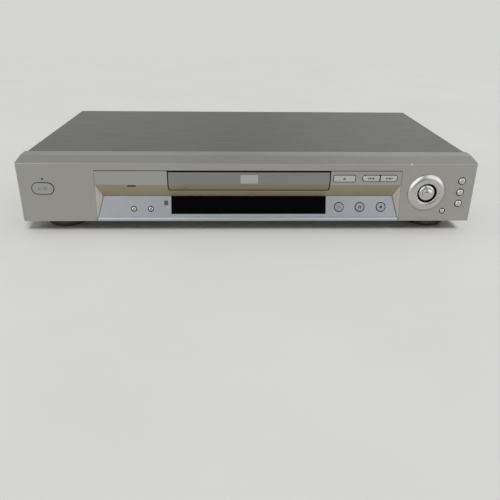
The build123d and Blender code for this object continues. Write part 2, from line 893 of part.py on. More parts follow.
def nav_ring():
    """Dished ring round the joystick, turned about the stick's axis."""
    rim_in = ring_radius - 0.6
    lip_in = ring_bore + 1.0
    crown = ((lip_in + rim_in) / 2, ring_height)
    edges = [
        Line((ring_bore, -ring_depth), (ring_bore, ring_height - 1.3)),
        TangentArc((ring_bore, ring_height - 1.3), (lip_in, ring_height - 0.4), tangent=(0, 1)),
        ThreePointArc((lip_in, ring_height - 0.4), crown, (rim_in, ring_rim_height)),
        Line((rim_in, ring_rim_height), (ring_radius - 0.3, ring_rim_height)),
        Line((ring_radius - 0.3, ring_rim_height), (ring_radius, ring_rim_height - 0.3)),
        Line((ring_radius, ring_rim_height - 0.3), (ring_radius, 0.1 - ring_seat_depth)),
        Line((ring_radius, 0.1 - ring_seat_depth), (ring_seat_radius, 0.1 - ring_seat_depth)),
        Line((ring_seat_radius, 0.1 - ring_seat_depth), (ring_seat_radius, -ring_depth)),
        Line((ring_seat_radius, -ring_depth), (ring_bore, -ring_depth)),
    ]
    return turn_about_stick(edges)


def turn_about_stick(edges):
    """Turn an outline of (radius, height in front of the face) about the joystick's axis."""
    section = Plane.XZ * (Sketch() + Face(Wire(edges)))
    solid = revolve(section, Axis.Z, 360)
    return Pos(stick_place[0], front_y, stick_place[1]) * Rot(90, 0, 0) * solid


def joystick_knob():
    """Domed cap with a skirt, on a stem that slides in the collar."""
    tip = front_reach
    shoulder = tip - 1.2
    end = knob_tilt_gap - stem_end_depth
    edges = [
        Line((0, end), (0, tip)),
        TangentArc((0, tip), (knob_dome_radius, shoulder), tangent=(1, 0)),
        Line((knob_dome_radius, shoulder), (knob_dome_radius + 0.2, 1.9)),
        ThreePointArc((knob_dome_radius + 0.2, 1.9), (knob_skirt_radius - 1.2, 1.5),
                      (knob_skirt_radius, 0.2)),
        Line((knob_skirt_radius, 0.2), (knob_skirt_radius, -0.6)),
        Line((knob_skirt_radius, -0.6), (knob_stem_radius + 1, -1.4)),
        Line((knob_stem_radius + 1, -1.4), (knob_stem_radius, -3.0)),
        Line((knob_stem_radius, -3.0), (knob_stem_radius, end)),
        Line((knob_stem_radius, end), (0, end)),
    ]
    return turn_about_stick(edges)


def joystick_gimbal():
    """Ring that tilts up and down on two pins along X, with bores for the collar's pins."""
    x, z = stick_place
    half = gimbal_half
    body = rod_along_y(x, stick_pivot_depth - half, stick_pivot_depth + half, z, gimbal_outer)
    body -= rod_along_y(x, stick_pivot_depth - 5, stick_pivot_depth + 5, z, gimbal_inner)
    reach = gimbal_outer + gimbal_pin_length
    for side in (-1, 1):
        start = x + side * (gimbal_outer - 0.6)
        end = x + side * reach
        body += rod_along_x(min(start, end), max(start, end), stick_pivot_depth, z, gimbal_pin_radius)
    body -= rod_along_z(x, stick_pivot_depth, z - gimbal_outer - 1, z + gimbal_outer + 1,
                        collar_pin_radius + running_clearance)
    return body


def joystick_collar():
    """Sleeve that tilts left and right in the gimbal and guides the stem."""
    x, z = stick_place
    half = collar_half
    body = rod_along_y(x, stick_pivot_depth - half, stick_pivot_depth + half, z, collar_radius)
    pin_top = gimbal_outer - 0.3
    body += rod_along_z(x, stick_pivot_depth, z - pin_top, z + pin_top, collar_pin_radius)
    bore = knob_stem_radius + running_clearance
    return body - rod_along_y(x, stick_pivot_depth - 5, stick_pivot_depth + 5, z, bore)


def joystick_base():
    """Block on the front board with two ears that carry the gimbal."""
    x, z = stick_place
    ear_in = gimbal_outer + stick_ear_gap
    ear_out = ear_in + stick_ear_thickness
    body = block(x - ear_out, x + ear_out, switch_front_depth + plunger_height / 2, front_board_depth,
                 z - stick_base_half, z + stick_base_half)
    body += rod_along_y(x, switch_front_depth, front_board_depth - 1, z, plunger_radius)
    for side in (-1, 1):
        near_x = x + side * ear_in
        far_x = x + side * ear_out
        body += block(min(near_x, far_x), max(near_x, far_x),
                      stick_pivot_depth - gimbal_half - stick_ear_gap, front_board_depth,
                      z - stick_ear_half, z + stick_ear_half)
    bore = gimbal_pin_radius + running_clearance
    return body - rod_along_x(x - ear_out - 1, x + ear_out + 1, stick_pivot_depth, z, bore)


def front_board():
    low = bezel_bottom_z + front_board_below
    high = front_top_z - front_board_above
    notch_z = tray_rail_z - front_board_notch_drop
    notch = front_board_notch
    half = half_width - front_board_side_gap
    outline = polygon((-half, low), (half, low), (half, high), (notch, high), (notch, notch_z),
                      (-notch, notch_z), (-notch, high), (-half, high))
    back = front_board_depth + board_thickness
    board = front_prism(outline, front_board_depth, back)
    for x, z in boss_places:
        board -= rod_along_y(x, front_board_depth - 1, back + 1, z, small_screw_radius + 0.1)
    return board


def tact_switches():
    """A push switch on the front board behind each button."""
    switches = []
    half = switch_size / 2
    for x, z in switch_places():
        body = block(x - half, x + half, front_board_depth - switch_height, front_board_depth,
                     z - half, z + half)
        body += rod_along_y(x, switch_front_depth, front_board_depth - switch_height / 2, z, plunger_radius)
        switches.append(body)
    return Compound(switches)


def fluorescent_display():
    """Glass tube on the front board, with its row of leads along the bottom."""
    middle_z = slope_point(slope_length - window_height / 2, 0)[1]
    low = middle_z - tube_height / 2
    front = front_board_depth - tube_thickness - tube_board_gap
    half = tube_half_width
    body = block(-half, half, front, front + tube_thickness, low, low + tube_height)
    body = fillet(body.edges().filter_by(Axis.Y), 1.0)
    for x in (tube_leg_inset - half, half - tube_leg_inset):
        body += rod_along_y(x, front + 1, front_board_depth, low + tube_leg_inset, tube_leg_radius)
    return body


def tray_door():
    """Front of the tray: flat band and bevel in one piece, with lugs back to the tray."""
    bottom_z = band_bottom_z - door_bottom_drop
    bottom_depth = door_bottom_drop * bevel_slope
    top_z = band_top_z - door_top_gap
    section = polygon((0, top_z), (0, band_bottom_z), (bottom_depth, bottom_z),
                      (bottom_depth + door_thickness, bottom_z), (door_thickness, band_bottom_z),
                      (door_thickness, top_z))
    body = side_prism(section, -half_width, half_width) & front_prism(door_outline(), -1, groove_depth + 5)
    top_edge = [edge for edge in body.edges().filter_by(Axis.X)
                if abs(edge.center().Z - top_z) < 0.01 and edge.center().Y < at(1)]
    body = chamfer(top_edge, door_edge_chamfer)
    plaque_z = band_bottom_z + plaque_above_bevel
    body += block(-plaque_width / 2, plaque_width / 2, -plaque_proud, door_thickness / 2,
                  plaque_z - plaque_height / 2, plaque_z + plaque_height / 2)
    for x in (-door_lug_spacing, 0.0, door_lug_spacing):
        body += block(x - door_lug_half, x + door_lug_half, door_thickness - 0.5, tray_front,
                      tray_rail_z + 0.5, tray_top_z - 0.5)
    return body


def disc_tray():
    """Tray with two disc wells, open behind the spindle, and a rack under its left side."""
    rear = tray_front + tray_length
    half = tray_half_width
    body = block(-half, half, tray_front, rear, tray_rail_z, tray_top_z)
    body -= block(-half + tray_rail, half - tray_rail, tray_front + tray_front_wall, rear + 1,
                  tray_rail_z - 1, tray_under_z)
    body -= rod_along_z(0, disc_depth, well_floor_z, tray_top_z + 1, disc_well_radius)
    body -= rod_along_z(0, disc_depth, small_well_floor_z, tray_top_z + 1, small_well_radius)
    over = tray_top_z + 1
    body -= rod_along_z(0, disc_depth - disc_well_radius, small_well_floor_z, over, front_notch_radius)
    for side in (-1, 1):
        notch_x = side * (disc_well_radius - 4)
        body -= rod_along_z(notch_x, disc_depth, small_well_floor_z, over, side_notch_radius)
    slot = tray_slot_half_width
    body -= rod_along_z(0, disc_depth, tray_rail_z - 1, tray_top_z + 1, slot)
    body -= block(-slot, slot, disc_depth, rear + 1, tray_rail_z - 1, tray_top_z + 1)
    rack = rack_outline(rack_module, rack_pitch_x, 1, gear_depth - 5, rear, gear_depth, rack_back)
    body += top_prism(rack, tray_rail_z + 0.3, tray_under_z + 0.2)
    return body


def drive_centre():
    return (rack_pitch_x + rack_module * drive_teeth / 2, gear_depth)


def pulley_centre():
    reach = wheel_module * (wheel_teeth + pinion_teeth) / 2
    return (drive_centre()[0] + reach, gear_depth)


wheel_z = tray_rail_z - 5.6
pulley_z = wheel_z - 4.6


def drive_gear():
    """Compound gear: a wheel driven by the pulley's pinion, under the gear that drives the rack."""
    x, depth = drive_centre()
    top = tray_under_z - 0.4
    place = Pos(x, at(depth), 0)
    upper = extrude(gear_outline(rack_module, drive_teeth, 180), gear_face)
    body = place * Pos(0, 0, top - gear_face) * upper
    lower = extrude(gear_outline(wheel_module, wheel_teeth, 0), wheel_face)
    body += place * Pos(0, 0, wheel_z) * lower
    body += rod_along_z(x, depth, wheel_z, top, drive_hub_radius)
    bore = gear_pin_radius + running_clearance
    return body - rod_along_z(x, depth, wheel_z - 1, top + 1, bore)


def grooved_pulley(x, depth, z, radius):
    """Pulley with a square groove for the belt."""
    flange = radius + 1.2
    body = rod_along_z(x, depth, z, z + pulley_thickness, radius)
    body += rod_along_z(x, depth, z, z + 0.6, flange)
    return body + rod_along_z(x, depth, z + pulley_thickness - 0.6, z + pulley_thickness, flange)


def pulley_gear():
    """Large belt pulley with the pinion that turns the drive gear's wheel."""
    x, depth = pulley_centre()
    body = grooved_pulley(x, depth, pulley_z, pulley_radius)
    gap_angle = 180 + 180 / pinion_teeth
    start = pulley_z + pulley_thickness / 3
    end = wheel_z + wheel_face + pinion_overlap
    pinion = extrude(gear_outline(wheel_module, pinion_teeth, gap_angle), end - start)
    body += Pos(x, at(depth), start) * pinion
    top = wheel_z + wheel_face + 1
    return body - rod_along_z(x, depth, pulley_z - 1, top, gear_pin_radius + running_clearance)


def motor_pulley():
    """Small belt pulley on the loading motor's shaft."""
    body = grooved_pulley(loading_motor_x, gear_depth, pulley_z, motor_pulley_radius)
    shaft_end = pulley_z - 6.0
    return body + rod_along_z(loading_motor_x, gear_depth, shaft_end, pulley_z + 0.5, spindle_radius)


def belt_outline(grow):
    """Outline of (x, depth) round both pulleys at a distance from their grooves."""
    x0, depth = pulley_centre()
    x1 = loading_motor_x
    big = pulley_radius + grow
    small = motor_pulley_radius + grow
    angle = math.acos((big - small) / (x1 - x0))
    cos, sin = math.cos(angle), math.sin(angle)
    sides = polygon((x0 + big * cos, depth + big * sin), (x0 + big * cos, depth - big * sin),
                    (x1 + small * cos, depth - small * sin), (x1 + small * cos, depth + small * sin))
    return sides + Pos(x0, depth) * Circle(big) + Pos(x1, depth) * Circle(small)


def drive_belt():
    low = pulley_z + pulley_thickness / 2 - belt_thickness / 2
    loop = belt_outline(belt_clearance + belt_thickness) - belt_outline(belt_clearance)
    return top_prism(loop, low, low + belt_thickness)


def loading_motor():
    top = pulley_z - 1.0
    body = rod_along_z(loading_motor_x, gear_depth, top - loading_motor_height, top, loading_motor_radius)
    rims = [edge for edge in body.edges() if edge.geom_type == GeomType.CIRCLE]
    body = fillet(rims, 0.8)
    body += rod_along_z(loading_motor_x, gear_depth, top - 1, top + 0.7, 3.0)
    bore = spindle_radius + running_clearance
    return body - rod_along_z(loading_motor_x, gear_depth, top - 6.5, top + 2, bore)


pivot_z = wheel_z + 1.0
cam_pin_z = pivot_z - cam_pin_drop
cam_depth = 54.0


def loader_frame():
    """Tub that carries the tray on its ledges and the gears, motor and traverse unit on its floor."""
    floor_top = frame_floor_z
    body = block(-frame_outer, frame_outer, frame_front_depth, frame_rear_depth, frame_bottom_z, floor_top)
    body -= block(-frame_opening_half, frame_opening_half, plate_front_depth + 14, pivot_depth - 12,
                  frame_bottom_z - 1, floor_top + 1)
    nose_z = tray_rail_z - frame_nose_drop
    ledge_z = tray_rail_z - guide_gap
    for side in (-1, 1):
        inner = side * frame_inner
        outer = side * frame_outer
        low_x, high_x = min(inner, outer), max(inner, outer)
        body += block(low_x, high_x, frame_front_depth, frame_rear_depth, frame_bottom_z, frame_top_z)
        body += block(low_x, high_x, frame_nose_depth, frame_front_depth + 1, nose_z, frame_top_z)
        ledge = side * (tray_half_width - tray_rail - ledge_inset)
        body += block(min(ledge, outer), max(ledge, outer), frame_nose_depth, frame_rear_depth,
                      ledge_z - ledge_thickness, ledge_z)
        tab = side * (tray_half_width - guide_tab_overlap)
        for depth in guide_tab_depths:
            body += block(min(tab, outer), max(tab, outer), depth, depth + guide_tab_length,
                          tray_top_z + guide_gap, frame_top_z)
        ear_in = side * (plate_half_width + 1)
        ear_out = side * (plate_half_width + 1 + pivot_pin_length - 0.5)
        body += block(min(ear_in, ear_out), max(ear_in, ear_out), pivot_depth - pivot_ear_half,
                      pivot_depth + pivot_ear_half, floor_top - 1, pivot_z + pivot_ear_top)
        for depth in (frame_front_depth + frame_foot_inset, frame_rear_depth - frame_foot_inset):
            body += rod_along_z(side * (frame_outer - frame_foot_radius - 1.5), depth, pan_top_z,
                                frame_bottom_z + 1, frame_foot_radius)
    body += block(-frame_outer, frame_outer, frame_rear_depth - frame_wall, frame_rear_depth,
                  frame_bottom_z, tray_rail_z - frame_rear_drop)
    pivot_bore = pivot_pin_radius + running_clearance
    body -= rod_along_x(-frame_inner, frame_inner, pivot_depth, pivot_z, pivot_bore)
    rib_starts = (cam_depth - cam_rib_gap - cam_rib_thickness, cam_depth + cam_thickness + cam_rib_gap)
    for start in rib_starts:
        body += block(-cam_rib_left, cam_rib_right, start, start + cam_rib_thickness,
                      floor_top - 0.5, floor_top + cam_rib_height)
    posts = ((drive_centre(), wheel_z, tray_under_z - 0.5),
             (pulley_centre(), pulley_z, wheel_z + wheel_face + 1))
    for (x, depth), seat, top in posts:
        body += rod_along_z(x, depth, floor_top - 1, seat - 0.3, gear_post_radius)
        body += rod_along_z(x, depth, floor_top, top, gear_pin_radius)
    cup = rod_along_z(loading_motor_x, gear_depth, floor_top - 1, pulley_z - loading_motor_height + 3,
                      loading_motor_radius + motor_cup_wall)
    cup -= rod_along_z(loading_motor_x, gear_depth, pulley_z - 1 - loading_motor_height, pulley_z,
                       loading_motor_radius + 0.1)
    keep = block(-frame_outer, frame_outer, frame_front_depth - 2, frame_rear_depth, 0, 100)
    return body + (cup & keep)


def clamper_bridge():
    """Steel plate across the frame that holds the clamper over the turntable."""
    hole = clamper_neck_radius + 1.0
    body = block(-frame_outer, frame_outer, disc_depth - bridge_length / 2, disc_depth + bridge_length / 2,
                 bridge_z, bridge_z + bridge_thickness)
    body -= rod_along_z(0, disc_depth, bridge_z - 1, bridge_z + 3, hole)
    for side in (-1, 1):
        window = Pos(side * bridge_window_x, disc_depth) * RectangleRounded(*bridge_window, 5)
        body -= top_prism(window, bridge_z - 1, bridge_z + 3)
        x = side * bridge_rib_x
        top = bridge_z + bridge_thickness
        body += block(x - 1, x + 1, disc_depth - bridge_length / 2 + 4, disc_depth + bridge_length / 2 - 4,
                      top - 0.3, top + bridge_rib_height)
    return body


def clamper():
    """Magnetic puck: a ring over the disc, a neck through the bridge and a flange above it."""
    low = seat_z + clamper_gap
    flange = bridge_z + bridge_thickness + clamper_gap
    body = rod_along_z(0, disc_depth, low, bridge_z - clamper_bridge_gap, clamper_radius)
    body += rod_along_z(0, disc_depth, low, flange + 0.5, clamper_neck_radius)
    body += rod_along_z(0, disc_depth, flange, flange + clamper_flange_thickness, clamper_flange_radius)
    pocket = turntable_hub_radius + clamper_pocket_gap
    dish_radius, dish_depth = clamper_dish
    dish_z = flange + clamper_flange_thickness - dish_depth
    body -= rod_along_z(0, disc_depth, low - 1, seat_z + hub_height + clamper_gap, pocket)
    return body - rod_along_z(0, disc_depth, dish_z, flange + 3, dish_radius)


def turntable():
    """Seat for the disc with a tapered hub, on the spindle motor's shaft."""
    low = seat_z - turntable_height
    body = rod_along_z(0, disc_depth, seat_z - turntable_thickness, seat_z, turntable_radius)
    body += rod_along_z(0, disc_depth, low, seat_z, turntable_hub_radius + turntable_sleeve)
    hub = rod_along_z(0, disc_depth, seat_z - 0.5, seat_z + hub_height, turntable_hub_radius)
    top_rim = [edge for edge in hub.edges() if edge.center().Z > seat_z + hub_height - 0.01]
    body += chamfer(top_rim, hub_chamfer)
    ring = rod_along_z(0, disc_depth, seat_z - mat_depth, seat_z + 1, turntable_radius - mat_edge)
    ring -= rod_along_z(0, disc_depth, seat_z - 1, seat_z + 2, turntable_hub_radius + turntable_sleeve + 0.1)
    body -= ring
    return body + rod_along_z(0, disc_depth, plate_z - spindle_motor_height + 2, low + 1, spindle_radius)


plate_z = tray_rail_z - 4.0


def spindle_motor():
    low = plate_z - spindle_motor_height
    body = rod_along_z(0, disc_depth, low, plate_z, spindle_motor_radius)
    rims = [edge for edge in body.edges() if edge.center().Z < low + 0.1]
    body = chamfer(rims, 1.0)
    body += rod_along_z(0, disc_depth, plate_z - 0.5, seat_z - turntable_height - 0.4, 3.6)
    bore = spindle_radius + running_clearance
    return body - rod_along_z(0, disc_depth, low + 1.5, seat_z, bore)


def base_plate():
    """Plate of the traverse unit with its pivot pins, cam pin, rod holders and feed motor bracket."""
    top = plate_z + plate_thickness
    half = plate_half_width
    rear = pivot_depth + 4
    body = block(-half, half, plate_front_depth, rear, plate_z, top)
    sled_out = sled_half_width + sled_window_gap
    window_front = sled_window_front()
    body -= block(-sled_out, sled_out, window_front, pivot_depth - 4, plate_z - 1, top + 1)
    body -= rod_along_z(0, disc_depth, plate_z - 1, top + 1, 3.7)
    for side in (-1, 1):
        cheek_in = side * (half - cheek_thickness)
        cheek_out = side * half
        body += block(min(cheek_in, cheek_out), max(cheek_in, cheek_out), pivot_depth - 8, rear,
                      pivot_z - cheek_drop, top)
        pin_end = side * (half + pivot_pin_length)
        body += rod_along_x(min(cheek_in, pin_end), max(cheek_in, pin_end), pivot_depth, pivot_z,
                            pivot_pin_radius)
        x = side * rod_x
        for depth in (window_front - rod_holder_length, pivot_depth - 5):
            body += block(x - rod_holder_half, x + rod_holder_half, depth, depth + rod_holder_length,
                          rod_z - rod_holder_half, plate_z + 1)
    body += block(-cam_arm_half, cam_arm_half, cam_depth + cam_thickness + cam_arm_gap,
                  plate_front_depth + 2, cam_pin_z - cam_arm_drop, top)
    body += rod_along_y(0, cam_depth - cam_pin_overlap, plate_front_depth, cam_pin_z, cam_pin_radius)
    for side in (-1, 1):
        rod_bore = rod_radius + 0.03
        body -= rod_along_y(side * rod_x, window_front - 2, pivot_depth - 2.5, rod_z, rod_bore)
    x = feed_centre_x()
    bracket_z = feed_z - bracket_gap
    body += block(x - bracket_half, x + bracket_half, feed_gear_depth - bracket_reach,
                  feed_gear_depth + bracket_reach, bracket_z - bracket_thickness, bracket_z)
    for depth in (feed_gear_depth - bracket_post, feed_gear_depth + bracket_post):
        body += block(x - 4, x + 4, depth - 1.4, depth + 1.4, bracket_z - 1, plate_z + 1)
    return body - rod_along_z(x, feed_gear_depth, bracket_z - 5, bracket_z + 1, 2.0)


def sled_window_front():
    """Depth of the front edge of the window that the sled runs in."""
    return disc_depth + lens_start - sled_length / 2 - 4


rod_z = plate_z - 3.6
feed_z = plate_z - 5.6


def feed_centre_x():
    return -(sled_half_width + 3.0 + feed_module * feed_teeth / 2)


def guide_rods():
    front = sled_window_front() - 1.9
    rods = [rod_along_y(side * rod_x, front, pivot_depth - 2.6, rod_z, rod_radius)
            for side in (-1, 1)]
    return Compound(rods)


def pickup_sled():
    """Carriage on the guide rods, with the lens actuator on top and a rack along its left side."""
    depth = disc_depth + lens_start
    half_length = sled_length / 2
    top = plate_z + 0.4
    body = block(-sled_half_width, sled_half_width, depth - half_length, depth + half_length,
                 top - sled_height, top)
    body += block(-actuator_width / 2, actuator_width / 2, depth - actuator_length / 2,
                  depth + actuator_length / 2, top - 1, lens_top_z() - actuator_below_lens)
    body -= rod_along_z(0, depth, lens_top_z() - 5, lens_top_z(), lens_radius + 0.6)
    body -= rod_along_z(0, disc_depth, 0, cover_top_z, spindle_motor_radius + 1.5)
    for side in (-1, 1):
        bore = rod_radius + running_clearance
        body -= rod_along_y(side * rod_x, depth - 30, depth + 30, rod_z, bore)
    rack_x = -(sled_half_width + 3.0)
    front = feed_gear_depth - sled_travel - 4
    outline = rack_outline(feed_module, rack_x, -1, front, feed_gear_depth + 6, feed_gear_depth, 2.6)
    body += top_prism(outline, feed_z, feed_z + 3.0)
    return body


def lens_top_z():
    return seat_z - 1.9


def objective_lens():
    """Lens in its round holder, free to move up and down for focus."""
    depth = disc_depth + lens_start
    low = lens_top_z() - 5 + lens_travel + 0.2
    body = rod_along_z(0, depth, low, lens_top_z() - 0.6, lens_radius)
    radius = lens_radius * 1.6
    dome_low = lens_top_z() - 0.6
    dome_half = lens_radius * 0.62
    dome_drop = math.sqrt(radius ** 2 - dome_half ** 2)
    dome = Pos(0, at(depth), dome_low - dome_drop) * Sphere(radius)
    return body + (dome & rod_along_z(0, depth, dome_low - 0.3, lens_top_z() + 2, dome_half))


def feed_gear():
    x = feed_centre_x()
    place = Pos(x, at(feed_gear_depth), feed_z)
    body = place * extrude(gear_outline(feed_module, feed_teeth, 0), 3.0)
    return body + rod_along_z(x, feed_gear_depth, feed_z - 7.0, feed_z + 1, spindle_radius)


def feed_motor():
    x = feed_centre_x()
    top = feed_z - 0.6 - 1.5
    body = rod_along_z(x, feed_gear_depth, top - feed_motor_height, top, feed_motor_radius)
    rims = [edge for edge in body.edges() if edge.geom_type == GeomType.CIRCLE and edge.center().Z < top - 1]
    body = chamfer(rims, 0.8)
    body += rod_along_z(x, feed_gear_depth, top - 0.5, top + 1.2, 1.9)
    return body - rod_along_z(x, feed_gear_depth, top - 6.0, top + 3, spindle_radius + running_clearance)


def cam_slider():
    """Plate with a sloping slot that lowers and lifts the front of the traverse unit."""
    low = frame_floor_z + 0.3
    high = cam_pin_z + cam_above_pin
    crest_left, crest_right = cam_crest
    outline = polygon((cam_left, low), (cam_right, low), (cam_right, high - cam_shoulder),
                      (crest_right, high), (crest_left, high), (cam_left, high - cam_shoulder))
    plate = front_prism(outline, cam_depth, cam_depth + cam_thickness)
    drop = cam_pin_fall()
    length = math.hypot(cam_travel, drop)
    slope = math.degrees(math.atan2(drop, cam_travel))
    width = 2 * (cam_pin_radius + cam_pin_clearance)
    slot = SlotCenterToCenter(length + 0.5, width)
    middle = Pos(-cam_travel / 2, cam_pin_z - drop / 2) * Rot(0, 0, slope)
    return plate - front_prism(middle * slot, cam_depth - 1, cam_depth + cam_thickness + 1)


def cam_pin_fall():
    """How far the cam pin drops when the traverse unit is fully down."""
    angle = math.radians(tilt_degrees)
    reach = pivot_depth - cam_depth - cam_thickness / 2
    return reach * math.sin(angle) - cam_pin_drop * (1 - math.cos(angle))


def chassis_pan():
    """Steel tray that everything is fixed to, folded up at its sides and front."""
    front = bezel_floor_depth + case_gap
    rear = rear_face_depth - sheet - 0.1
    half = pan_half_width
    low = foot_height
    body = block(-half, half, front, rear, low, low + sheet)
    for side in (-1, 1):
        outer = side * half
        inner = side * (half - sheet)
        body += block(min(inner, outer), max(inner, outer), bezel_depth + 0.5, rear, low, low + pan_flange)
        for depth in side_screw_depths:
            body -= rod_along_x(min(inner, outer) - 1, max(inner, outer) + 1, depth, side_screw_z,
                                screw_radius + 0.05)
    body += block(-half, half, front, front + sheet, low, low + 4.4)
    for x, z in boss_places:
        body -= rod_along_y(x, front - 1, front + 2, z, boss_radius + case_gap)
    for x, depth in foot_places():
        body -= rod_along_z(x, depth, low - 1, low + 2, foot_stud_radius + 0.1)
    for x, depth in board_standoffs():
        body += rod_along_z(x, depth, low + sheet / 2, board_z, standoff_radius)
        body -= rod_along_z(x, depth, pan_top_z, board_z + 1, small_screw_radius)
    for column in range(pan_vent_count):
        x = pan_vent_inset - half + column * pan_vent_pitch
        slot = Pos(x, pan_vent_depth) * Rot(0, 0, 90) * SlotOverall(*pan_vent_size)
        body -= top_prism(slot, low - 1, low + 2)
    return body


def foot_places():
    foot_x = half_width - foot_side_inset
    return [(side * foot_x, depth) for side in (-1, 1) for depth in (front_foot_depth, rear_foot_depth)]


def power_board_box():
    """Left, right, front and rear edges of the power board."""
    left = -pan_half_width + sheet + board_edge
    rear = rear_face_depth - sheet - board_rear_gap
    return (left, -frame_outer - power_board_gap, rear - power_board_length, rear)


def main_board_box():
    right = pan_half_width - sheet - board_edge
    rear = rear_face_depth - sheet - board_rear_gap
    return (frame_outer + main_board_gap, right, rear - main_board_length, rear)


def board_standoffs():
    places = []
    for left, right, front, rear in (power_board_box(), main_board_box()):
        for x in (left + 5, right - 5):
            for depth in (front + 5, rear - 28):
                places.append((x, depth))
    return places


def feet():
    """Four moulded feet with a stud through the pan and a recess for the pad."""
    made = []
    for x, depth in foot_places():
        cone = Cone(foot_radius - foot_taper, foot_radius, foot_height - pad_proud - 2)
        rim = rod_along_z(x, depth, foot_height - 2.1, foot_height, foot_radius)
        body = Pos(x, at(depth), (foot_height - 2 + pad_proud) / 2) * cone + rim
        low_rim = [edge for edge in body.edges() if edge.center().Z < pad_proud + 0.01]
        body = fillet(low_rim, 1.0)
        body -= rod_along_z(x, depth, 0, pad_thickness + 0.1, pad_radius + 0.2)
        body += rod_along_z(x, depth, foot_height - 1, foot_height + foot_stud_length, foot_stud_radius)
        made.append(body)
    return Compound(made)


def foot_pads():
    pads = []
    for x, depth in foot_places():
        pad = rod_along_z(x, depth, 0, pad_thickness, pad_radius)
        low_rim = [edge for edge in pad.edges() if edge.center().Z < 0.01]
        pads.append(fillet(low_rim, 0.4))
    return Compound(pads)


def top_cover():
    """Painted sheet folded down at both sides and the back."""
    half = cover_half_width
    low = foot_height + cover_bottom_gap
    front = bezel_depth + case_gap
    outer = block(-half, half, front, body_depth, low, cover_top_z)
    bends = [edge for edge in outer.edges().filter_by(Axis.Y) if edge.center().Z > cover_top_z - 1]
    outer = fillet(bends, cover_bend)
    inner = block(-half + sheet, half - sheet, front - 1, body_depth - sheet, low - 1, cover_top_z - sheet)
    bends = [edge for edge in inner.edges().filter_by(Axis.Y) if edge.center().Z > cover_top_z - 2]
    inner = fillet(bends, cover_bend - sheet)
    body = outer - inner
    body -= block(-half + sheet, half - sheet, body_depth - sheet - 1, body_depth + 1,
                  low - 1, cover_top_z - rear_flange)
    for depth in side_screw_depths:
        body -= rod_along_x(-half - 1, half + 1, depth, side_screw_z, screw_radius + 0.2)
    for x in rear_screw_x:
        body -= rod_along_y(x, body_depth - 5, body_depth + 1, rear_screw_z(), screw_radius + 0.2)
    return body


def rear_screw_z():
    return cover_top_z - rear_flange / 2


def rear_panel():
    """Back of the case, pierced for the jacks and the mains inlet, with vent slots."""
    half = pan_half_width
    low = foot_height
    high = cover_top_z - sheet - 0.4
    body = block(-half, half, rear_face_depth - sheet, rear_face_depth, low, high)
    for x in rear_screw_x:
        body -= rod_along_y(x, rear_face_depth - 3, rear_face_depth + 3, rear_screw_z(), screw_radius + 0.05)
    for x, z in jack_places():
        body -= rod_along_y(x, rear_face_depth - 3, rear_face_depth + 3, z, jack_insert_radius + 0.15)
    hole = Pos(inlet_x, inlet_z) * RectangleRounded(inlet_width + 0.4, inlet_height + 0.4, 2.0)
    body -= front_prism(hole, rear_face_depth - 3, rear_face_depth + 3)
    for column in range(rear_vent_count):
        x = (column + 0.5 - rear_vent_count / 2) * rear_vent_pitch - rear_vent_aside
        slot = Pos(x, (low + high) / 2) * Rot(0, 0, 90) * SlotOverall(*rear_vent_size)
        body -= front_prism(slot, rear_face_depth - 3, rear_face_depth + 3)
    return body


def jack_column_x():
    last = half_width - jack_side_inset
    return [last - (jack_columns - 1 - column) * jack_pitch for column in range(jack_columns)]


def jack_places():
    return [(x, z) for x in jack_column_x() for z in jack_rows_z]


def jack_block():
    """Moulded body of the jacks, standing on the main board behind the rear panel."""
    left = jack_column_x()[0] - jack_pitch / 2
    right = jack_column_x()[-1] + jack_pitch / 2
    rear = rear_face_depth - sheet - 0.2
    body = block(left, right, rear - jack_block_depth, rear, board_z + board_thickness, jack_rows_z[1] + 8)
    for x, z in jack_places():
        body -= rod_along_y(x, rear - 10, rear + 1, z, jack_barrel_radius - 0.25)
    return body


def jack_inserts():
    """Coloured ring round each jack."""
    rings = []
    start = rear_face_depth - sheet - 0.2
    for x, z in jack_places():
        ring = rod_along_y(x, start, rear_face_depth + jack_insert_proud, z, jack_insert_radius)
        ring -= rod_along_y(x, start - 1, rear_face_depth + 5, z, jack_barrel_radius - 0.25)
        rings.append(ring)
    return Compound(rings)


def jack_shells():
    """Metal barrel of each jack, with its centre hole."""
    barrels = []
    start = rear_face_depth - sheet - 8
    end = body_depth + rear_reach
    free = rear_face_depth + jack_insert_proud + 0.1
    for x, z in jack_places():
        barrel = rod_along_y(x, start, free, z, jack_barrel_radius - jack_barrel_step)
        barrel += rod_along_y(x, free, end, z, jack_barrel_radius)
        rim = [edge for edge in barrel.edges() if edge.center().Y > at(end) - 0.01]
        barrel = chamfer(rim, 0.4)
        barrels.append(barrel - rod_along_y(x, end - 10, end + 1, z, jack_bore_radius))
    return Compound(barrels)


def power_inlet():
    """Two-pin mains inlet: a recess in the shape of an eight, with its contact pins."""
    rear = rear_face_depth + inlet_proud
    front = rear - inlet_socket_depth - inlet_back_wall
    outline = Pos(inlet_x, inlet_z) * RectangleRounded(inlet_width, inlet_height, 1.8)
    body = front_prism(outline, front, rear)
    socket = Pos(inlet_x, inlet_z) * SlotOverall(inlet_socket_width, inlet_socket_height)
    body -= front_prism(socket, rear - inlet_socket_depth, rear + 1)
    for side in (-1, 1):
        x = inlet_x + side * inlet_pin_spacing / 2
        body += rod_along_y(x, rear - inlet_socket_depth - 1, rear - 2, inlet_z, inlet_pin_radius)
    left, right = inlet_x - inlet_width / 2, inlet_x + inlet_width / 2
    leg_top = inlet_z - inlet_height / 2 + 1
    body += block(left, right, front, front + inlet_leg_length, board_z + board_thickness, leg_top)
    return body


def on_board(box, across, along):
    """X and depth of a place given as shares of a board's width and length."""
    left, right, front, rear = box
    return (left + across * (right - left), front + along * (rear - front))


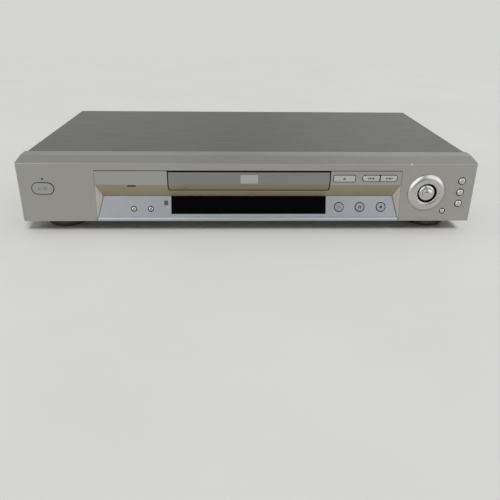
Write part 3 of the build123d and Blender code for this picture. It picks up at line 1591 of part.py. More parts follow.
def board_parts(box, rows):
    """Plain blocks on a board, one for each row of place and size."""
    made = []
    top = board_z + board_thickness
    for across, along, size_x, size_y, height in rows:
        x, depth = on_board(box, across, along)
        made.append(block(x - size_x / 2, x + size_x / 2, depth - size_y / 2, depth + size_y / 2,
                          top, top + height))
    return made


def circuit_board(box):
    left, right, front, rear = box
    board = block(left, right, front, rear, board_z, board_z + board_thickness)
    for x, depth in board_standoffs():
        board -= rod_along_z(x, depth, board_z - 1, board_z + 3, small_screw_radius + 0.1)
    return board


def power_board():
    """Power board with its heat sink, fuse and small parts."""
    left, right, front, rear = power_board_box()
    top = board_z + board_thickness
    parts = [circuit_board((left, right, front, rear))]
    x, depth = on_board(power_board_box(), *sink_place)
    sink = block(x, x + 4, depth, depth + fin_count * fin_pitch - 3.5, top, top + sink_height)
    for fin in range(fin_count):
        fin_depth = depth + 1 + fin * fin_pitch
        sink += block(x + 3, x + 10, fin_depth, fin_depth + fin_thickness, top, top + sink_height)
    parts.append(sink)
    return Compound(parts + board_parts(power_board_box(), power_blocks))


def transformer():
    """Switching transformer: two core halves round a winding."""
    top = board_z + board_thickness
    x, depth = on_board(power_board_box(), *transformer_place)
    half = core_width / 2
    low = top + bobbin_base[2] + bobbin_gap
    high = low + core_height
    core = block(x - half, x + half, depth - core_depth / 2, depth + core_depth / 2, low, high)
    core -= block(x - half + core_leg, x + half - core_leg, depth - core_depth, depth + core_depth,
                  low + core_yoke, high - core_yoke)
    wound = half - core_leg - winding_gap
    winding = block(x - wound, x + wound, depth - winding_depth / 2, depth + winding_depth / 2,
                    low + core_yoke + winding_gap, high - core_yoke - winding_gap)
    winding = fillet(winding.edges().filter_by(Axis.X), winding_corner)
    base_x, base_y, base_height = bobbin_base
    base = block(x - base_x / 2, x + base_x / 2, depth - base_y / 2, depth + base_y / 2,
                 top, top + base_height)
    return Compound([core, winding, base])


def power_capacitors():
    top = board_z + board_thickness
    cans = []
    for across, along, radius, height in power_cans:
        x, depth = on_board(power_board_box(), across, along)
        can = rod_along_z(x, depth, top, top + height, radius)
        rim = [edge for edge in can.edges() if edge.center().Z > top + height - 0.01]
        cans.append(fillet(rim, 0.8))
    return Compound(cans)


def main_board():
    """Main board with its chips, each a separate block on the board."""
    top = board_z + board_thickness
    parts = [circuit_board(main_board_box())] + board_parts(main_board_box(), main_chips)
    x, depth = connector_place()
    half = connector_width / 2
    parts.append(block(x - half, x + half, depth, depth + connector_length, top, top + connector_height))
    return Compound(parts)


def connector_place():
    """X of the middle and depth of the front of the main board's connector."""
    x, front = on_board(main_board_box(), connector_share, 0.0)
    return (x, front + 3.0)


def ribbon_cable():
    """Flat cable from the main board's connector up to the front board."""
    x, front = connector_place()
    top = board_z + board_thickness + connector_height
    start = front_board_depth + board_thickness + 0.1
    end = front + connector_length / 3
    thick = ribbon_thickness
    high = top + ribbon_overlap / 2
    low = high - ribbon_overlap
    outline = polygon((start, low), (start + thick, low), (start + thick, high - thick),
                      (end, high - thick), (end, top), (end + thick, top), (end + thick, high),
                      (start, high))
    return side_prism(outline, x - ribbon_width / 2, x + ribbon_width / 2)


def screws():
    """All the screws: case sides, case back, front board and main boards."""
    made = []
    half = cover_half_width
    for side in (-1, 1):
        for depth in side_screw_depths:
            head_in, head_out = side * half, side * (half + screw_head_height)
            tip = side * (half - sheet - 5)
            screw = rod_along_x(min(head_in, head_out), max(head_in, head_out), depth, side_screw_z,
                                screw_head_radius)
            screw += rod_along_x(min(tip, head_in), max(tip, head_in), depth, side_screw_z, screw_radius)
            z = side_screw_z
            near, far = head_out - cross_depth, head_out + cross_depth
            for wide, high in ((cross_reach, cross_half), (cross_half, cross_reach)):
                screw -= block(near, far, depth - wide, depth + wide, z - high, z + high)
            made.append(screw)
    for x in rear_screw_x:
        z = rear_screw_z()
        screw = rod_along_y(x, body_depth, body_depth + screw_head_height, z, screw_head_radius)
        screw += rod_along_y(x, body_depth - 7, body_depth + 0.5, z, screw_radius)
        near = body_depth + screw_head_height - cross_depth
        far = near + 2 * cross_depth
        for wide, high in ((cross_reach, cross_half), (cross_half, cross_reach)):
            screw -= block(x - wide, x + wide, near, far, z - high, z + high)
        made.append(screw)
    back = front_board_depth + board_thickness
    for x, z in boss_places:
        screw = rod_along_y(x, back, back + small_head_height, z, small_head_radius)
        made.append(screw + rod_along_y(x, back - 7, back + 0.5, z, small_screw_radius))
    top = board_z + board_thickness
    for x, depth in board_standoffs():
        screw = rod_along_z(x, depth, top, top + small_head_height, small_head_radius)
        made.append(screw + rod_along_z(x, depth, board_z - 4, top + 0.5, small_screw_radius))
    return Compound(made)


def build_parts():
    makers = (
        chassis_pan, top_cover, rear_panel, front_bezel, control_panel, display_window, nav_ring,
        small_windows, screws, feet, foot_pads, power_board, transformer, power_capacitors, main_board,
        ribbon_cable, jack_block, jack_shells, jack_inserts, power_inlet, front_board,
        fluorescent_display, tact_switches, joystick_base, joystick_gimbal, joystick_collar,
        joystick_knob, loader_frame, clamper_bridge, clamper, loading_motor, motor_pulley, drive_belt,
        pulley_gear, drive_gear, cam_slider, base_plate, guide_rods, spindle_motor, turntable,
        pickup_sled, objective_lens, feed_motor, feed_gear, disc_tray, tray_door)
    parts = {maker.__name__: maker() for maker in makers}
    for name, place, hole, cap, proud, rounding in face_buttons():
        parts[name] = push_button(name, face_plane(*place), place, cap, proud, rounding, bezel_wall)
    for name, place, hole, cap, proud, rounding in slope_buttons():
        parts[name] = push_button(name, slope_plane(*place), place, cap, proud, rounding, slope_wall)
    return parts


os.makedirs("parts", exist_ok=True)
for node, shape in build_parts().items():
    export_step(shape, "parts/" + node + ".step")
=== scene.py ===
"""The looks of the disc player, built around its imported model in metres, in the model's own frame."""

import json
import math

import bmesh
import bpy
from mathutils import Matrix, Vector
from mathutils.bvhtree import BVHTree


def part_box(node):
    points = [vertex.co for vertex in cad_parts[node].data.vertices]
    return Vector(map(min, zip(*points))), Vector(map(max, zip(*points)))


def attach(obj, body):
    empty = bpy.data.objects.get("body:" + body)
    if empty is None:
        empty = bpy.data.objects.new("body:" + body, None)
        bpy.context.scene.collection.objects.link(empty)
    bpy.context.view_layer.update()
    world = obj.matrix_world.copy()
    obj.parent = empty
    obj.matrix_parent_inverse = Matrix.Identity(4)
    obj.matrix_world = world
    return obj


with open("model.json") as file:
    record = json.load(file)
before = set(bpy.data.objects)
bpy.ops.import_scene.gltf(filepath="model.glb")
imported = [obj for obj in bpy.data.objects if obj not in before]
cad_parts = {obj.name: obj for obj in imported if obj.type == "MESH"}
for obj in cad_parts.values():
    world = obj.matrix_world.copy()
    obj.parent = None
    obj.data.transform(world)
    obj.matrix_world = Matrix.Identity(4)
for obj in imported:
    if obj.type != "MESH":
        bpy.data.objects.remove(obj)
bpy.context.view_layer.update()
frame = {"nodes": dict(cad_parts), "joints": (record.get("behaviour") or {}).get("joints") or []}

# Places on the bezel and in the case, in millimetres; the slope starts above the front's flat face
FRONT_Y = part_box("front_bezel")[0].y * 1000
LEFT_X, RIGHT_X = [corner.x * 1000 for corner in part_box("front_bezel")]
BOTTOM_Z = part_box("front_bezel")[0].z * 1000
FRONT_TOP_Z = 70.0
BOARD_TOP_Z = 23.0

# Colours that several materials share
# Near-black of bare plastic, also used as painted shade in holes, gaps and the groove over the door
BARE_PLASTIC_AND_SHADE = (0.012, 0.012, 0.012)
BODY_SILVER = (0.366, 0.36, 0.34)
BOARD_GREEN = (0.02, 0.11, 0.045)
TRACK_GREEN = (0.035, 0.17, 0.07)
SOLDER = (0.55, 0.56, 0.57)


def metres(*values):
    return Vector([value / 1000.0 for value in values])


def cap_face(node):
    """Middle of a button's outer face, in metres, and the direction that it looks in."""
    joint = next(joint for joint in frame["joints"] if joint["child"] == node)
    out = -Vector(joint["axis"]).normalized()
    points = [vertex.co.copy() for vertex in frame["nodes"][node].data.vertices]
    top = max(point.dot(out) for point in points)
    face = [point for point in points if point.dot(out) > top - 0.00001]
    low = Vector([min(point[axis] for point in face) for axis in range(3)])
    high = Vector([max(point[axis] for point in face) for axis in range(3)])
    return (low + high) / 2, out


class Surface:
    """A material built step by step around one principled shader."""

    def __init__(self, name, colour, metallic=0.0, roughness=0.5, **more):
        self.material = bpy.data.materials.new(name)
        self.material.use_nodes = True
        self.tree = self.material.node_tree
        self.shader = self.tree.nodes["Principled BSDF"]
        self.shader.inputs["Base Color"].default_value = (*colour, 1)
        self.shader.inputs["Metallic"].default_value = metallic
        self.shader.inputs["Roughness"].default_value = roughness
        for label, value in more.items():
            self.shader.inputs[label].default_value = value
        self.colour = self.rgb(colour)
        self.rough = None
        self.height = None

    def node(self, kind, **settings):
        made = self.tree.nodes.new("ShaderNode" + kind)
        for label, value in settings.items():
            setattr(made, label, value)
        return made

    def feed(self, socket, value):
        """Link a socket to another one, or set its value."""
        if isinstance(value, bpy.types.NodeSocket):
            self.tree.links.new(value, socket)
        else:
            socket.default_value = value

    def rgb(self, colour):
        made = self.node("RGB")
        made.outputs[0].default_value = (*colour, 1)
        return made.outputs[0]

    def math(self, operation, first, second=0.0, third=None):
        made = self.node("Math", operation=operation)
        self.feed(made.inputs[0], first)
        self.feed(made.inputs[1], second)
        if third is not None:
            self.feed(made.inputs[2], third)
        return made.outputs[0]

    def place(self, stretch=(1, 1, 1)):
        """The point on the object, in metres, scaled along each axis."""
        point = self.node("TexCoord").outputs["Object"]
        made = self.node("Mapping")
        made.inputs["Scale"].default_value = stretch
        self.feed(made.inputs["Vector"], point)
        return made.outputs[0]

    def axes(self):
        """The point on the object, as its three parts in metres."""
        made = self.node("SeparateXYZ")
        self.feed(made.inputs[0], self.node("TexCoord").outputs["Object"])
        return made.outputs

    def noise(self, scale, stretch=(1, 1, 1), detail=3.0):
        made = self.node("TexNoise")
        made.inputs["Scale"].default_value = scale
        made.inputs["Detail"].default_value = detail
        made.inputs["Roughness"].default_value = 0.55
        self.feed(made.inputs["Vector"], self.place(stretch))
        return made.outputs["Fac"]

    def cells(self, scale, feature="F1", output="Distance"):
        made = self.node("TexVoronoi", feature=feature)
        made.inputs["Scale"].default_value = scale
        self.feed(made.inputs["Vector"], self.place())
        return made.outputs[output]

    def spread(self, value, low, high, start=0.3, end=0.7):
        """Map a value from start..end to low..high."""
        made = self.node("MapRange")
        self.feed(made.inputs["Value"], value)
        made.inputs["From Min"].default_value = start
        made.inputs["From Max"].default_value = end
        made.inputs["To Min"].default_value = low
        made.inputs["To Max"].default_value = high
        return made.outputs["Result"]

    def between(self, value, low, high):
        """1 where low < value < high, else 0."""
        above = self.math("GREATER_THAN", value, low)
        below = self.math("LESS_THAN", value, high)
        return self.math("MULTIPLY", above, below)

    def shade(self, factor):
        """Multiply the colour by a factor."""
        made = self.node("VectorMath", operation="SCALE")
        self.feed(made.inputs[0], self.colour)
        self.feed(made.inputs["Scale"], factor)
        self.colour = made.outputs[0]

    def tint(self, mask, colour):
        """Go over to another colour where the mask is 1."""
        made = self.node("Mix", data_type="RGBA")
        self.feed(made.inputs["Factor"], mask)
        self.feed(made.inputs[6], self.colour)
        made.inputs[7].default_value = (*colour, 1)
        self.colour = made.outputs[2]

    def vary(self, amount, scale, stretch=(1, 1, 1), detail=3.0):
        """Make the colour lighter and darker by a share, in patches."""
        self.shade(self.spread(self.noise(scale, stretch, detail), 1 - amount, 1 + amount))

    def vary_roughness(self, low, high, scale, stretch=(1, 1, 1)):
        self.rough = self.spread(self.noise(scale, stretch), low, high)

    def raise_by(self, value, depth):
        """Add a height in metres to the bump."""
        step = self.math("MULTIPLY", value, depth)
        self.height = step if self.height is None else self.math("ADD", self.height, step)

    def near(self, x, y, z, radius):
        """A ragged spot round a place in millimetres, from 0.75 to 1.75 of the radius."""
        distance = self.node("VectorMath", operation="DISTANCE")
        self.feed(distance.inputs[0], self.node("TexCoord").outputs["Object"])
        distance.inputs[1].default_value = metres(x, y, z)
        smallest = 0.75 * radius / 1000
        size = self.math("MULTIPLY_ADD", self.noise(1600.0), radius / 1000, smallest)
        return self.math("LESS_THAN", distance.outputs["Value"], size)

    def normal(self):
        """The surface's direction, as its three parts."""
        made = self.node("SeparateXYZ")
        self.feed(made.inputs[0], self.node("NewGeometry").outputs["Normal"])
        return made.outputs

    def bare_and_shaded_hole_walls(self, depth, out=(0, -1, 0), point=None):
        """Bare dark plastic and painted shade on holes' walls, further than a depth in millimetres
        behind a surface.
        """
        facing = self.node("VectorMath", operation="DOT_PRODUCT")
        self.feed(facing.inputs[0], self.node("NewGeometry").outputs["Normal"])
        facing.inputs[1].default_value = out
        sideways = self.math("LESS_THAN", self.math("ABSOLUTE", facing.outputs["Value"]), 0.35)
        x, y, z = self.axes()
        across = self.between(x, (LEFT_X + 1) / 1000, (RIGHT_X - 1) / 1000)
        upright = self.between(z, (BOTTOM_Z + 1) / 1000, (FRONT_TOP_Z - 1) / 1000)
        inside = self.math("MULTIPLY", across, upright)
        wall = self.math("MULTIPLY", sideways, self.behind(depth, out, point))
        self.tint(self.math("MULTIPLY", wall, inside), BARE_PLASTIC_AND_SHADE)

    def behind(self, depth, out=(0, -1, 0), point=None):
        """1 further than a depth in millimetres behind the front face, or behind another plane."""
        point = Vector((0, FRONT_Y / 1000, 0)) if point is None else point
        along = self.node("VectorMath", operation="DOT_PRODUCT")
        self.feed(along.inputs[0], self.node("TexCoord").outputs["Object"])
        along.inputs[1].default_value = out
        return self.math("LESS_THAN", along.outputs["Value"], point.dot(Vector(out)) - depth / 1000)

    def done(self):
        """Link what was built to the shader, and give the material."""
        self.feed(self.shader.inputs["Base Color"], self.colour)
        if self.rough is not None:
            self.feed(self.shader.inputs["Roughness"], self.rough)
        if self.height is not None:
            bump = self.node("Bump")
            bump.inputs["Distance"].default_value = 1.0
            bump.inputs["Strength"].default_value = 1.0
            self.feed(bump.inputs["Height"], self.height)
            self.feed(self.shader.inputs["Normal"], bump.outputs[0])
        return self.material


def silver_paint(name, colour, rough=0.36):
    """Metallic paint on plastic: fine flakes, soft clouds, and a slightly uneven gloss."""
    made = Surface(name, colour, metallic=0.75, roughness=rough)
    made.vary(0.035, 5200.0, detail=2.0)
    made.vary(0.02, 14.0)
    made.vary_roughness(rough - 0.03, rough + 0.04, 60.0)
    made.raise_by(made.noise(4200.0, detail=1.0), 0.000002)
    return made


# A depth behind the front face just past the groove, and a chip in the paint, in millimetres
PAST_GROOVE = 9.0
CHIP_X = 151.5
CHIP_RADIUS = 0.8


def bezel_paint():
    """Silver paint, dark with painted shade in holes and a painted shadow in the line over the door,
    lighter with painted light on the groove's end walls, and warm with a painted reflection on its
    bevels.
    """
    made = silver_paint("bezel_paint", BODY_SILVER)
    normal_x, normal_y, normal_z = made.normal()
    x, y, z = made.axes()
    # Painted light: the groove's upright end walls are painted much lighter, for the light that falls on
    # them
    end_wall = made.between(made.math("ABSOLUTE", normal_x), 0.6, 0.95)
    in_groove = made.between(y, (FRONT_Y + 0.5) / 1000, (FRONT_Y + PAST_GROOVE) / 1000)
    upright = made.math("LESS_THAN", made.math("ABSOLUTE", normal_z), 0.3)
    painted_light_end_walls = made.math("MULTIPLY", made.math("MULTIPLY", end_wall, in_groove), upright)
    made.tint(painted_light_end_walls, (0.69, 0.66, 0.62))
    # Painted reflection: the groove's bevels that face down are painted lighter and warm brown, for the
    # wooden board they reflect
    bevel = made.math("MULTIPLY", made.math("LESS_THAN", normal_z, -0.35), in_groove)
    made.tint(bevel, (0.39, 0.335, 0.245))
    made.bare_and_shaded_hole_walls(0.3)
    door_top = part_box("tray_door")[1].z
    groove_left, groove_right = [corner.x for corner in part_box("control_panel")]
    # Painted shadow: the walls of the groove over the door are tinted near-black, for the shade inside
    # it
    over_door = made.between(z, door_top + 0.0007, door_top + 0.0024)
    painted_shadow_line = made.math("MULTIPLY", over_door, made.between(x, groove_left - 0.002, groove_right + 0.002))
    shallow = made.between(y, (FRONT_Y + 0.1) / 1000, (FRONT_Y + 3) / 1000)
    made.tint(made.math("MULTIPLY", painted_shadow_line, shallow), BARE_PLASTIC_AND_SHADE)
    chip = made.near(CHIP_X, FRONT_Y, FRONT_TOP_Z - 0.2, CHIP_RADIUS)
    made.tint(chip, (0.66, 0.65, 0.62))
    return made.done()


# How much darker the door is painted than the bezel, a painted shade, and a scratch on its bevel, in
# millimetres
DOOR_PAINTED_SHADE = 0.69
SCRATCH = (-59.9, FRONT_Y + 2.3, 45.9)
SCRATCH_RADIUS = 0.7


def door_paint():
    """Silver darkened as painted shade, with a plaque that stands proud of the front face painted
    lighter, a painted reflection on the bevel, painted shade in its gaps, and a scratch.
    """
    made = silver_paint("door_paint", [part * DOOR_PAINTED_SHADE for part in BODY_SILVER])
    # Painted reflection: the door's bevel that faces down is painted brown, for the wooden board it
    # reflects
    bevel = made.math("LESS_THAN", made.normal()[2], -0.35)
    made.tint(bevel, (0.315, 0.28, 0.20))
    # Painted light: the plaque that stands proud of the front face is painted lighter than the door
    # around it
    plaque = made.math("LESS_THAN", made.axes()[1], (FRONT_Y - 0.05) / 1000)
    made.tint(plaque, (0.44, 0.445, 0.44))
    # Painted shade: the door's edges deeper than 1 mm are tinted near-black, for the shade in the gap
    # round it
    made.bare_and_shaded_hole_walls(1.0)
    made.tint(made.near(*SCRATCH, SCRATCH_RADIUS), (0.13, 0.10, 0.07))
    return made.done()


def cover_paint():
    """Dark grey metallic paint with a fine grain along the width."""
    made = Surface("cover_paint", (0.148, 0.146, 0.138), metallic=0.55, roughness=0.42)
    made.vary(0.06, 420.0, stretch=(0.06, 1, 1))
    made.vary(0.04, 3800.0, detail=2.0)
    made.vary(0.03, 9.0)
    made.vary_roughness(0.38, 0.46, 300.0, stretch=(0.08, 1, 1))
    made.raise_by(made.noise(2600.0, detail=2.0), 0.000006)
    return made.done()


def plastic(name, colour, rough=0.5, grain=2600.0, grain_depth=0.000008, coat=0.0):
    """Moulded plastic with a fine grain; its depth is in metres."""
    made = Surface(name, colour, roughness=rough, **{"Coat Weight": coat})
    made.vary(0.06, 30.0)
    made.vary(0.05, grain)
    made.vary_roughness(rough - 0.05, rough + 0.07, 120.0)
    made.raise_by(made.noise(grain, detail=2.0), grain_depth)
    return made


def metal(name, colour, rough=0.3, stretch=(1, 1, 1), scale=900.0, amount=0.06):
    """Bare metal, with brush lines where its pattern is stretched."""
    made = Surface(name, colour, metallic=1.0, roughness=rough)
    made.vary(amount, scale, stretch)
    made.vary(0.04, 25.0)
    made.vary_roughness(rough - 0.06, rough + 0.08, scale, stretch)
    made.raise_by(made.noise(scale, stretch), 0.000003)
    return made


def galvanised():
    """Zinc-coated sheet with faint crystal patches."""
    made = metal("galvanised_steel", (0.56, 0.57, 0.58), rough=0.38, scale=500.0)
    patches = made.cells(90.0, output="Color")
    made.shade(made.spread(patches, 0.93, 1.05, 0.0, 1.0))
    return made.done()


def window_black():
    made = Surface("window_black", (0.0008, 0.0008, 0.001), roughness=0.08,
                   **{"Specular IOR Level": 0.05})
    made.vary(0.2, 20.0)
    made.vary_roughness(0.06, 0.11, 35.0)
    dust = made.math("GREATER_THAN", made.noise(2300.0, detail=1.0), 0.76)
    made.tint(dust, (0.008, 0.008, 0.008))
    return made.done()


# The remote sensor's window lies further right than this, and the lamps' further left, in millimetres
SENSOR_FROM_X = -85.0


def dark_lenses():
    """Smoked light pipes; the remote sensor's one is greyer."""
    made = Surface("dark_lenses", (0.003, 0.003, 0.003), roughness=0.15, **{"Specular IOR Level": 0.15})
    sensor = made.math("GREATER_THAN", made.axes()[0], SENSOR_FROM_X / 1000)
    made.tint(sensor, (0.085, 0.085, 0.092))
    made.vary(0.1, 900.0)
    made.vary_roughness(0.12, 0.2, 500.0)
    return made.done()


def foot_plastic():
    made = plastic("foot_plastic", (0.085, 0.047, 0.028), rough=0.24, grain=900.0,
                   grain_depth=0.000003, coat=0.4)
    return made.done()


def circuit_board(name, board, track, part_colour):
    """Lying board with tracks and solder pads, and the parts on it in a colour of their own."""
    made = Surface(name, board, roughness=0.35)
    edges = made.cells(210.0, feature="DISTANCE_TO_EDGE")
    tracks = made.math("LESS_THAN", edges, 0.10)
    made.tint(tracks, track)
    pads = made.math("LESS_THAN", made.cells(320.0), 0.16)
    made.tint(pads, SOLDER)
    made.vary(0.06, 40.0)
    made.tint(made.math("GREATER_THAN", made.axes()[2], (BOARD_TOP_Z + 0.05) / 1000.0), part_colour)
    made.vary(0.08, 1500.0)
    made.vary_roughness(0.3, 0.45, 200.0)
    made.raise_by(tracks, 0.00003)
    return made


# On the power board only the heat sink is higher than this, in millimetres
SINK_FROM_Z = 34.5


def power_board():
    made = circuit_board("power_board", (0.30, 0.17, 0.06), (0.38, 0.23, 0.09), (0.05, 0.05, 0.055))
    sink = made.math("GREATER_THAN", made.axes()[2], SINK_FROM_Z / 1000)
    made.tint(sink, (0.30, 0.30, 0.31))
    return made.done()


def main_board():
    return circuit_board("main_board", BOARD_GREEN, TRACK_GREEN, (0.022, 0.022, 0.024)).done()


def front_board():
    """Standing board with tracks and solder pads."""
    made = Surface("front_board", BOARD_GREEN, roughness=0.35)
    tracks = made.math("LESS_THAN", made.cells(230.0, feature="DISTANCE_TO_EDGE"), 0.1)
    made.tint(tracks, TRACK_GREEN)
    made.tint(made.math("LESS_THAN", made.cells(300.0), 0.15), SOLDER)
    made.vary(0.06, 40.0)
    made.vary_roughness(0.3, 0.45, 200.0)
    made.raise_by(tracks, 0.00003)
    return made.done()


# The transformer's tape: half its width, and where it starts and ends in height, in millimetres
TAPE_HALF_WIDTH = 9.75
TAPE_LOW_Z = 31.0
TAPE_HIGH_Z = 43.0


def transformer():
    """Taped winding between two ferrite halves."""
    made = Surface("transformer", (0.07, 0.07, 0.075), roughness=0.6)
    low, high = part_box("transformer")
    x, y, z = made.axes()
    aside = made.math("ABSOLUTE", made.math("SUBTRACT", x, (low.x + high.x) / 2))
    in_width = made.math("LESS_THAN", aside, TAPE_HALF_WIDTH / 1000)
    tape = made.math("MULTIPLY", in_width, made.between(z, TAPE_LOW_Z / 1000, TAPE_HIGH_Z / 1000))
    made.tint(tape, (0.62, 0.45, 0.04))
    made.vary(0.08, 700.0, stretch=(1, 1, 4))
    made.vary_roughness(0.45, 0.65, 300.0)
    made.raise_by(made.noise(900.0, stretch=(0.3, 0.3, 3)), 0.00002)
    return made.done()


def capacitor_sleeves():
    """Dark sleeves with a pale stripe at the back and a metal top."""
    made = Surface("capacitor_sleeves", (0.012, 0.016, 0.045), roughness=0.3)
    normal = made.normal()
    made.tint(made.math("GREATER_THAN", normal[1], 0.93), (0.5, 0.5, 0.5))
    made.tint(made.math("GREATER_THAN", normal[2], 0.9), (0.45, 0.45, 0.46))
    made.vary(0.06, 500.0)
    made.vary_roughness(0.25, 0.4, 200.0)
    return made.done()


# Distance between the ribbon cable's wires, in millimetres
WIRE_PITCH = 1.0


def ribbon_cable():
    """Flat cable with a ridge for each of its wires, darker in the grooves between them as painted
    shade.
    """
    made = Surface("ribbon_cable", (0.70, 0.70, 0.66), roughness=0.4)
    turns = made.math("MULTIPLY", made.axes()[0], 1000 * math.tau / WIRE_PITCH)
    wave = made.math("SINE", turns)
    # Painted shade: the colour darkens where the wave, and with it the bump, is low, in the grooves
    # between the wires
    made.shade(made.spread(wave, 0.80, 1.0, -1.0, 1.0))
    made.vary(0.05, 300.0)
    made.vary_roughness(0.35, 0.5, 200.0)
    made.raise_by(wave, 0.00006)
    return made.done()


# The jacks' columns, from the middle of the back outwards, and the height between their two rows, in
# millimetres, with the rings' usual colours
JACK_START_X = 94.5
JACK_PITCH = 19.0
JACK_ROWS_MEET_Z = 40.0
WHITE_RING = (0.62, 0.61, 0.57)
RED_RING = (0.50, 0.02, 0.02)
YELLOW_RING = (0.70, 0.48, 0.02)
GREEN_RING = (0.03, 0.30, 0.06)
BLUE_RING = (0.03, 0.06, 0.38)
ORANGE_RING = (0.75, 0.22, 0.02)
UPPER_RINGS = (WHITE_RING, WHITE_RING, YELLOW_RING, GREEN_RING, RED_RING)
LOWER_RINGS = (RED_RING, RED_RING, YELLOW_RING, BLUE_RING, ORANGE_RING)


def jack_rings():
    """Each jack's ring has a colour of its own, in two rows of five."""
    made = Surface("jack_rings", UPPER_RINGS[0], roughness=0.42)
    x, y, z = made.axes()
    low_row = made.math("LESS_THAN", z, JACK_ROWS_MEET_Z / 1000)
    for column, (upper, lower) in enumerate(zip(UPPER_RINGS, LOWER_RINGS)):
        start = (JACK_START_X + JACK_PITCH * column) / 1000
        here = made.between(x, start, start + JACK_PITCH / 1000)
        made.tint(here, upper)
        made.tint(made.math("MULTIPLY", here, low_row), lower)
    made.vary(0.05, 900.0)
    made.vary_roughness(0.36, 0.5, 400.0)
    made.raise_by(made.noise(1800.0), 0.00001)
    return made.done()


def display_tube():
    """Glass tube with faint grid lines behind the glass."""
    made = Surface("display_tube", (0.02, 0.035, 0.035), roughness=0.08, **{"Coat Weight": 0.6})
    bars = made.math("SINE", made.math("MULTIPLY", made.axes()[0], 900.0))
    made.tint(made.math("GREATER_THAN", bars, 0.86), (0.10, 0.13, 0.13))
    made.vary(0.1, 300.0)
    made.vary_roughness(0.06, 0.12, 200.0)
    return made.done()


# How far caps stand out of the front face or the slope, and how deep their own colour goes below it
# before the near-black of bare plastic and painted shade, in millimetres
CAP_PROUD = {"face": 0.5, "slope": 0.7}
CAP_SHOWN = 0.1


def dark_stem_and_gap_shade(made, surface):
    """Below the face or slope that it comes out of, a button is bare dark plastic and painted shade for
    its gap.
    """
    if surface == "slope":
        point, out = cap_face("play_button")
        hidden = made.behind(CAP_PROUD[surface] + CAP_SHOWN, out, point)
    else:
        hidden = made.behind(CAP_SHOWN)
    made.tint(hidden, BARE_PLASTIC_AND_SHADE)
    return made


def cap_metal(name, colour, rough, surface="face"):
    """Metallised plastic: bright, with a slightly soft gloss."""
    made = Surface(name, colour, metallic=1.0, roughness=rough)
    made.vary(0.03, 60.0)
    made.vary_roughness(rough - 0.02, rough + 0.04, 400.0)
    return dark_stem_and_gap_shade(made, surface).done()


def cap_paint(name, surface):
    """Painted cap."""
    return dark_stem_and_gap_shade(silver_paint(name, (0.37, 0.375, 0.375), rough=0.34), surface).done()


def panel_paint():
    """Silver of the control panel, painted lighter and bluish as a painted reflection of the sky, and
    dark with painted shade in its holes.
    """
    # Painted reflection: the panel's colour is lighter and bluer than the bezel's, for the sky that its
    # slope reflects
    made = silver_paint("panel_paint", (0.405, 0.422, 0.432))
    point, out = cap_face("play_button")
    made.bare_and_shaded_hole_walls(CAP_PROUD["slope"] + 0.3, out, point)
    return made.done()


def lens_glass():
    """Coated lens: clear blue, with patches of violet sheen painted into its colour."""
    made = Surface("lens_glass", (0.10, 0.16, 0.34), roughness=0.05, **{"Coat Weight": 1.0})
    # Painted sheen: violet patches in the base colour stand in for the coating's reflection
    made.tint(made.math("GREATER_THAN", made.noise(420.0, detail=1.0), 0.52), (0.16, 0.12, 0.36))
    made.vary(0.08, 900.0)
    made.vary_roughness(0.03, 0.08, 300.0)
    return made.done()


